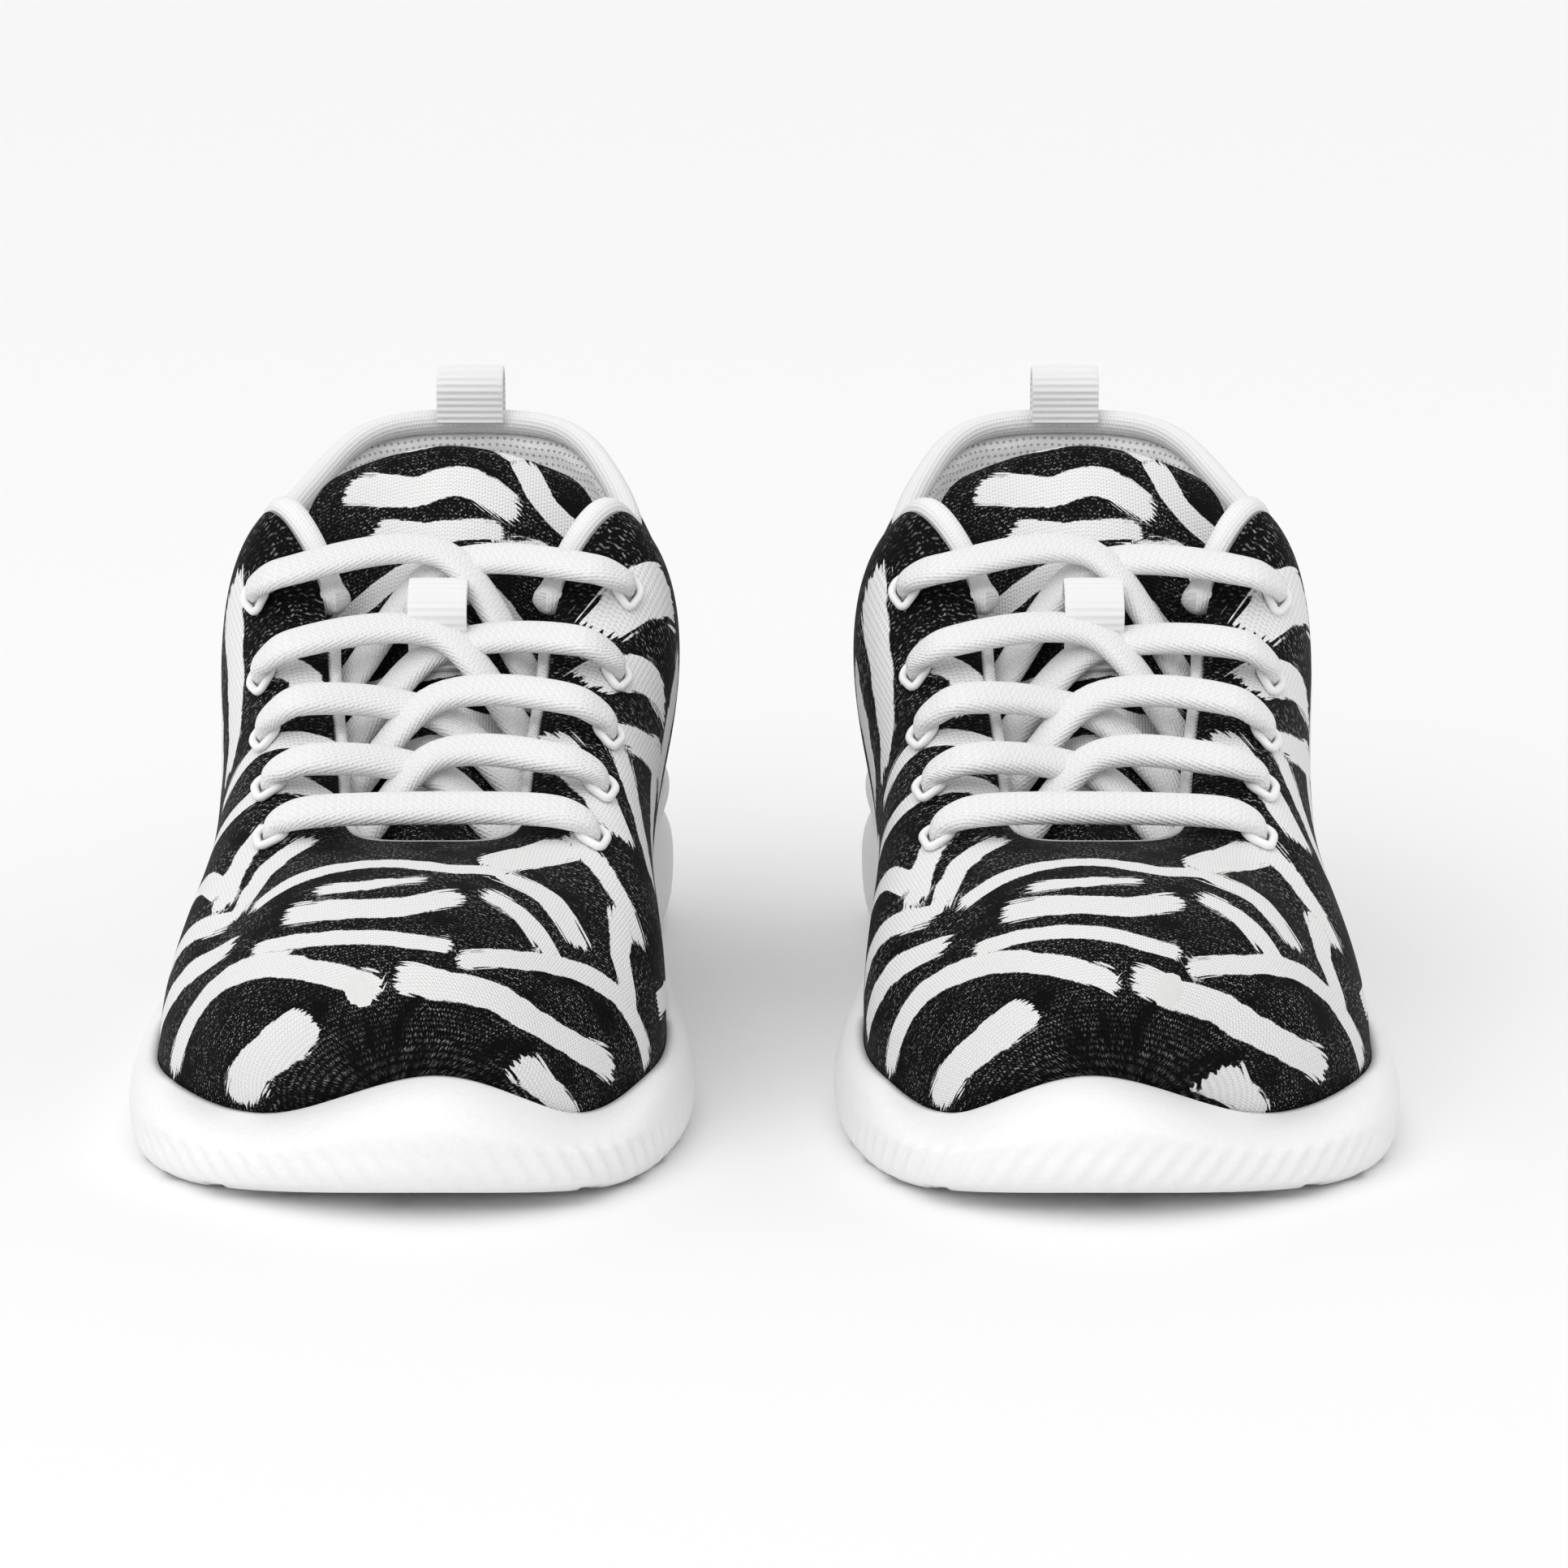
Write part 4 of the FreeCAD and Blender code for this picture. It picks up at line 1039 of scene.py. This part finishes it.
def make_tongue_face(side):
    s, across, points = tongue_shell(0.0, 1.2, 160, 190, 0.12)
    centre, form, out = tongue_frame(s)
    shown = across * form[..., 2] * 1.12 * -SIDES[side]
    flat = np.stack([shown, centre[..., 1] * 1.25 - 12], axis=-1)
    return grid_piece(f"{side}_tongue_face", points, side, flat, painted(flat, TONGUE_MARKS),
                      close_ends=True)


def make_tongue_pad(side):
    s, across, points = tongue_shell(1.45, 6.9, 90, 130)
    return grid_piece(f"{side}_tongue_pad", points, side, plain_flat(points), close_ends=True)


for side in SIDES:
    place_piece(make_tongue_face(side), f"{side}_tongue", "printed_knit", printed_knit,
                f"{side}_tongue_panel", padded=0.3)
    place_piece(make_tongue_pad(side), f"{side}_tongue", "lining_mesh", lining_mesh,
                f"{side}_tongue_foam", f"{side}_tongue_lining", padded=0.6)
print("tongues made")

# %% [markdown]
# ## Eyelets and lace
# Ten thin moulded rings, drawn out to a point on the side away from the throat, hold one
# flat lace. The lace runs up from under one edge, crosses the tongue and goes down
# through the eyelet opposite. We give each turning point and the direction of the lace's
# flat side there, and run a smooth line through them all.

# %% Eyelets
def make_eyelets(side):
    joined = bmesh.new()
    for (way, row), (centre, out) in EYELETS.items():
        outward = np.array((way * 0.45, -1.0, 0.0))
        outward = unit(outward - out * (outward @ out))
        level = np.cross(out, outward)
        angle = np.linspace(0, 2 * np.pi, 41)
        reach = 2.75 + 1.5 * np.exp(-(np.minimum(angle, 2 * np.pi - angle) / 0.55) ** 2)
        line = (centre + out * 0.9 + outward * (reach * np.cos(angle))[:, None]
                + level * (2.75 * np.sin(angle))[:, None])
        table = tube_table(line, out, 0.8, 0.8, 12)
        table[-1] = table[0] = (table[0] + table[-1]) / 2
        ring = grid_piece("ring", table, side, tube_flat(table))
        barrel_line = np.linspace(0.9, -2.4, 6)[:, None] * out + centre
        joined.from_mesh(ring.data)
        bpy.data.objects.remove(ring)
        barrel = tube_table(barrel_line, level, 2.35, 2.35, 24)
        sleeve = grid_piece("sleeve", barrel, side, tube_flat(barrel), outward=False)
        joined.from_mesh(sleeve.data)
        bpy.data.objects.remove(sleeve)
    bmesh.ops.recalc_face_normals(joined, faces=joined.faces)
    mesh = bpy.data.meshes.new(f"{side}_eyelet_rings")
    joined.to_mesh(mesh)
    joined.free()
    return add_object(f"{side}_eyelet_rings", mesh)


for side in SIDES:
    place_piece(make_eyelets(side), f"{side}_shoe", "eyelet_plastic", eyelet_plastic,
                f"{side}_eyelets")
print("eyelets made")

# %% Lace
OVER_SIDES = (-1, -1, 1, 1)
LACE_WIDE, LACE_THICK = 3.8, 1.9


def tongue_station(y):
    """The station at which the tongue's centre line passes y."""
    places = np.linspace(0, TONGUE_SPAN, 400)
    return np.interp(y, spline_value(TONGUE_CURVE, places, False)[:, 0], places)


def above_tongue(x, y, height):
    """A point height above the tongue's outer face."""
    s = tongue_station(y)
    centre, form, out = tongue_frame(s)
    across = np.clip((x - lean(y)) / form[2], -1, 1)
    return tongue_point(s, across, 0.0) + out * height


def lace_points(shoe_side):
    """Places along the lace, with the flat side's direction and how wide it lies there."""
    fore = np.array((0, 0.86, 0.5))

    def through(way, row):
        centre, out = EYELETS[way, row]
        inward = np.array((-way, 0, 0.0))
        inward = unit(inward - out * (inward @ out))
        return [(centre + out * 3.6 + inward * 10.0, 1.0),
                (centre + out * 3.7 + inward * 4.6, 0.92),
                (centre + out * 2.4 + inward * 0.9, 0.62),
                (centre - out * 1.2, 0.48),
                (centre - out * 6.4 + inward * 1.2, 0.55)]

    def climb(way, row):
        t = 1.75 + row if way > 0 else COUNT - 1.75 - row
        edge, out = layer_point(t, 1.0, 0.0), upper_normal(t, 0.98)
        over = way == OVER_SIDES[row] * shoe_side
        y = EYELETS[1, row + 1][0][1] + 6.0
        return [(edge - out * 7.4, 0.85), (above_tongue(lean(y), y, 3.1 + 4.1 * over), 1.0)]

    half = {}
    for way in (1, -1):
        points, here = list(through(way, 0)), way
        for row in range(4):
            points += climb(here, row)
            here = -here
            points += through(here, row + 1)
        centre, out = EYELETS[here, 4]
        start = centre - out * 6.5
        points += [(start + np.array((2 * here, 8, -7)), 0.8),
                   (start + np.array((3 * here, 17, -17)), 0.8)]
        half[way] = points
    route = list(reversed(half[-1])) + half[1]
    places, widths = zip(*route)
    return np.array(places), np.array(widths), np.broadcast_to(fore, (len(route), 3))


def centripetal(points, steps=14):
    """A smooth line through uneven points that doesn't overshoot between close ones."""
    points = np.asarray(points, float)
    padded = np.vstack([2 * points[0] - points[1], points, 2 * points[-1] - points[-2]])
    line = []
    for a, b, c, d in zip(padded, padded[1:], padded[2:], padded[3:]):
        k1 = np.sqrt(np.linalg.norm(b[:3] - a[:3]))
        k2 = k1 + np.sqrt(np.linalg.norm(c[:3] - b[:3]))
        k3 = k2 + np.sqrt(np.linalg.norm(d[:3] - c[:3]))
        for u in k1 + (k2 - k1) * np.arange(steps) / steps:
            ab = (a * (k1 - u) + b * u) / k1
            bc = (b * (k2 - u) + c * (u - k1)) / (k2 - k1)
            cd = (c * (k3 - u) + d * (u - k2)) / (k3 - k2)
            near = (ab * (k2 - u) + bc * u) / k2
            far = (bc * (k3 - u) + cd * (u - k1)) / (k3 - k1)
            line.append((near * (k2 - u) + far * (u - k1)) / (k2 - k1))
    return np.array(line + [points[-1]])


def make_lace(side):
    places, width, across = lace_points(-SIDES[side])
    line = centripetal(np.hstack([places, width[:, None], across]))
    width = np.clip(line[:, 3], 0.5, 1.0)
    return make_tube(f"{side}_flat_lace", side, line[:, :3], line[:, 4:],
                     LACE_WIDE * width, LACE_THICK * (0.75 + 0.25 * width), 16, 0.8)


for side in SIDES:
    place_piece(make_lace(side), f"{side}_shoe", "lace_weave", lace_weave, f"{side}_lace")

# %% [markdown]
# ## Webbing
# The lace keeper and the pull tab are the same ribbed tape. Each is a band with a thin
# oblong section carried along its line, and fine ribs run across it. The keeper's two feet
# lie flat on the tongue, and the pull tab's stand in the collar's edge.

# %% Ribbed tape
def tape_table(line, normal, wide, thick, around=40, rib=1.35, deep=0.10):
    """A band along a line in the shoe's upright plane, with ribs across it."""
    travel = lengths(line[:, None], 0)[:, 0]
    ribs = deep * np.cos(2 * np.pi * travel / rib)
    return tube_table(line, normal, wide, thick + ribs, around, 0.35)


def resample(line, steps):
    """The same line with evenly spaced points."""
    travel = lengths(line[:, None], 0)[:, 0]
    at = np.linspace(0, travel[-1], steps)
    return np.stack([np.interp(at, travel, line[:, k]) for k in range(3)], axis=-1)


def make_keeper(side):
    between_rows = (EYELETS[1, 3][0][1] + EYELETS[1, 4][0][1]) / 2
    s = tongue_station(between_rows + 3)
    centre, form, out = tongue_frame(s)
    along = np.cross(out, np.array((1.0, 0, 0)))
    along = along if along[1] > 0 else -along
    base = centre + out * 1.2
    shape = ((-10.4, 0.1), (-8.6, 0.1), (-7.2, 0.8), (-6.2, 4.6), (-5.0, 8.6), (-2.2, 10.2),
             (2.2, 10.2), (5.0, 8.6), (6.2, 4.6), (7.2, 0.8), (8.2, 0.1), (9.0, 0.1))
    line = np.array([base + along * a + out * b for a, b in shape])
    line[:, 0] += lean(centre[1])
    table = tape_table(resample(rounded(line, 8), 220), np.array((1.0, 0, 0)), 5.75, 0.6)
    return grid_piece(f"{side}_keeper_tape", table, side, tube_flat(table), close_ends=True)


def make_pull_tab(side):
    back = edge_line(np.array([HEEL]), 2.65, 2.4)[0] + np.array((0, 0, 0.4))
    angle = np.linspace(0, np.pi, 24)
    arch = [back + np.array((0, -5 * np.cos(a), 6 + 5 * np.sin(a))) for a in angle]
    line = np.array([back + (0, -5, 0), back + (0, -5, 3)] + arch
                    + [back + (0, 5, 3), back + (0, 5, 0)])
    table = tape_table(resample(line, 200), np.array((1.0, 0, 0)), 7.1, 0.6)
    return grid_piece(f"{side}_tab_tape", table, side, tube_flat(table), close_ends=True)


for side in SIDES:
    place_piece(make_keeper(side), f"{side}_tongue", "webbing", webbing, f"{side}_lace_keeper")
    place_piece(make_pull_tab(side), f"{side}_tab", "webbing", webbing, f"{side}_pull_tab")
print("webbing made")

# %% [markdown]
# ## Sockliner and hidden layers
# The sockliner is a foam sheet that turns up a little at its edge, like a shallow tray.
# The stiffeners, the board, the foam and the lace tips keep their CAD shapes and only
# take a finish.

# %% Sockliner
def make_sockliner(side):
    t = np.linspace(0, COUNT, 241)
    edge = layer_point(t, SKIRT, 5.1)
    spine = middle_line(edge, -90, 95)
    columns = []
    for level, shares in ((1.9, np.linspace(1, 0.02, 14)), (5.7, np.linspace(0, 1, 24))):
        for share in shares:
            inner = edge + (spine - edge) * share
            cup = 0.5 * smooth(1 - share / 0.25) if level > 3 else 0.0
            inner[:, 2] = floor_height(inner[:, 1]) + level + cup
            columns.append(inner)
    points = np.stack(columns, axis=1)
    return grid_piece(f"{side}_sockliner_pad", points, side, plain_flat(points))


for side in SIDES:
    place_piece(make_sockliner(side), f"{side}_insole", "insole_foam", insole_fabric,
                f"{side}_sockliner", padded=0.4)
print("sockliners made")

# %% Finishes of the CAD pieces that stay
STAYING = {"lasting_board": board, "toe_puff": stiffener, "heel_counter": stiffener,
           "eyestay_backing": stiffener, "collar_foam": padding, "vamp_lining": padding,
           "aglets": aglet_plastic}
for side in SIDES:
    for kind, material in STAYING.items():
        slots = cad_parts[f"{side}_{kind}"].data.materials
        slots.clear()
        slots.append(material)
print(len(STAYING) * 2, "pieces keep their CAD shape")
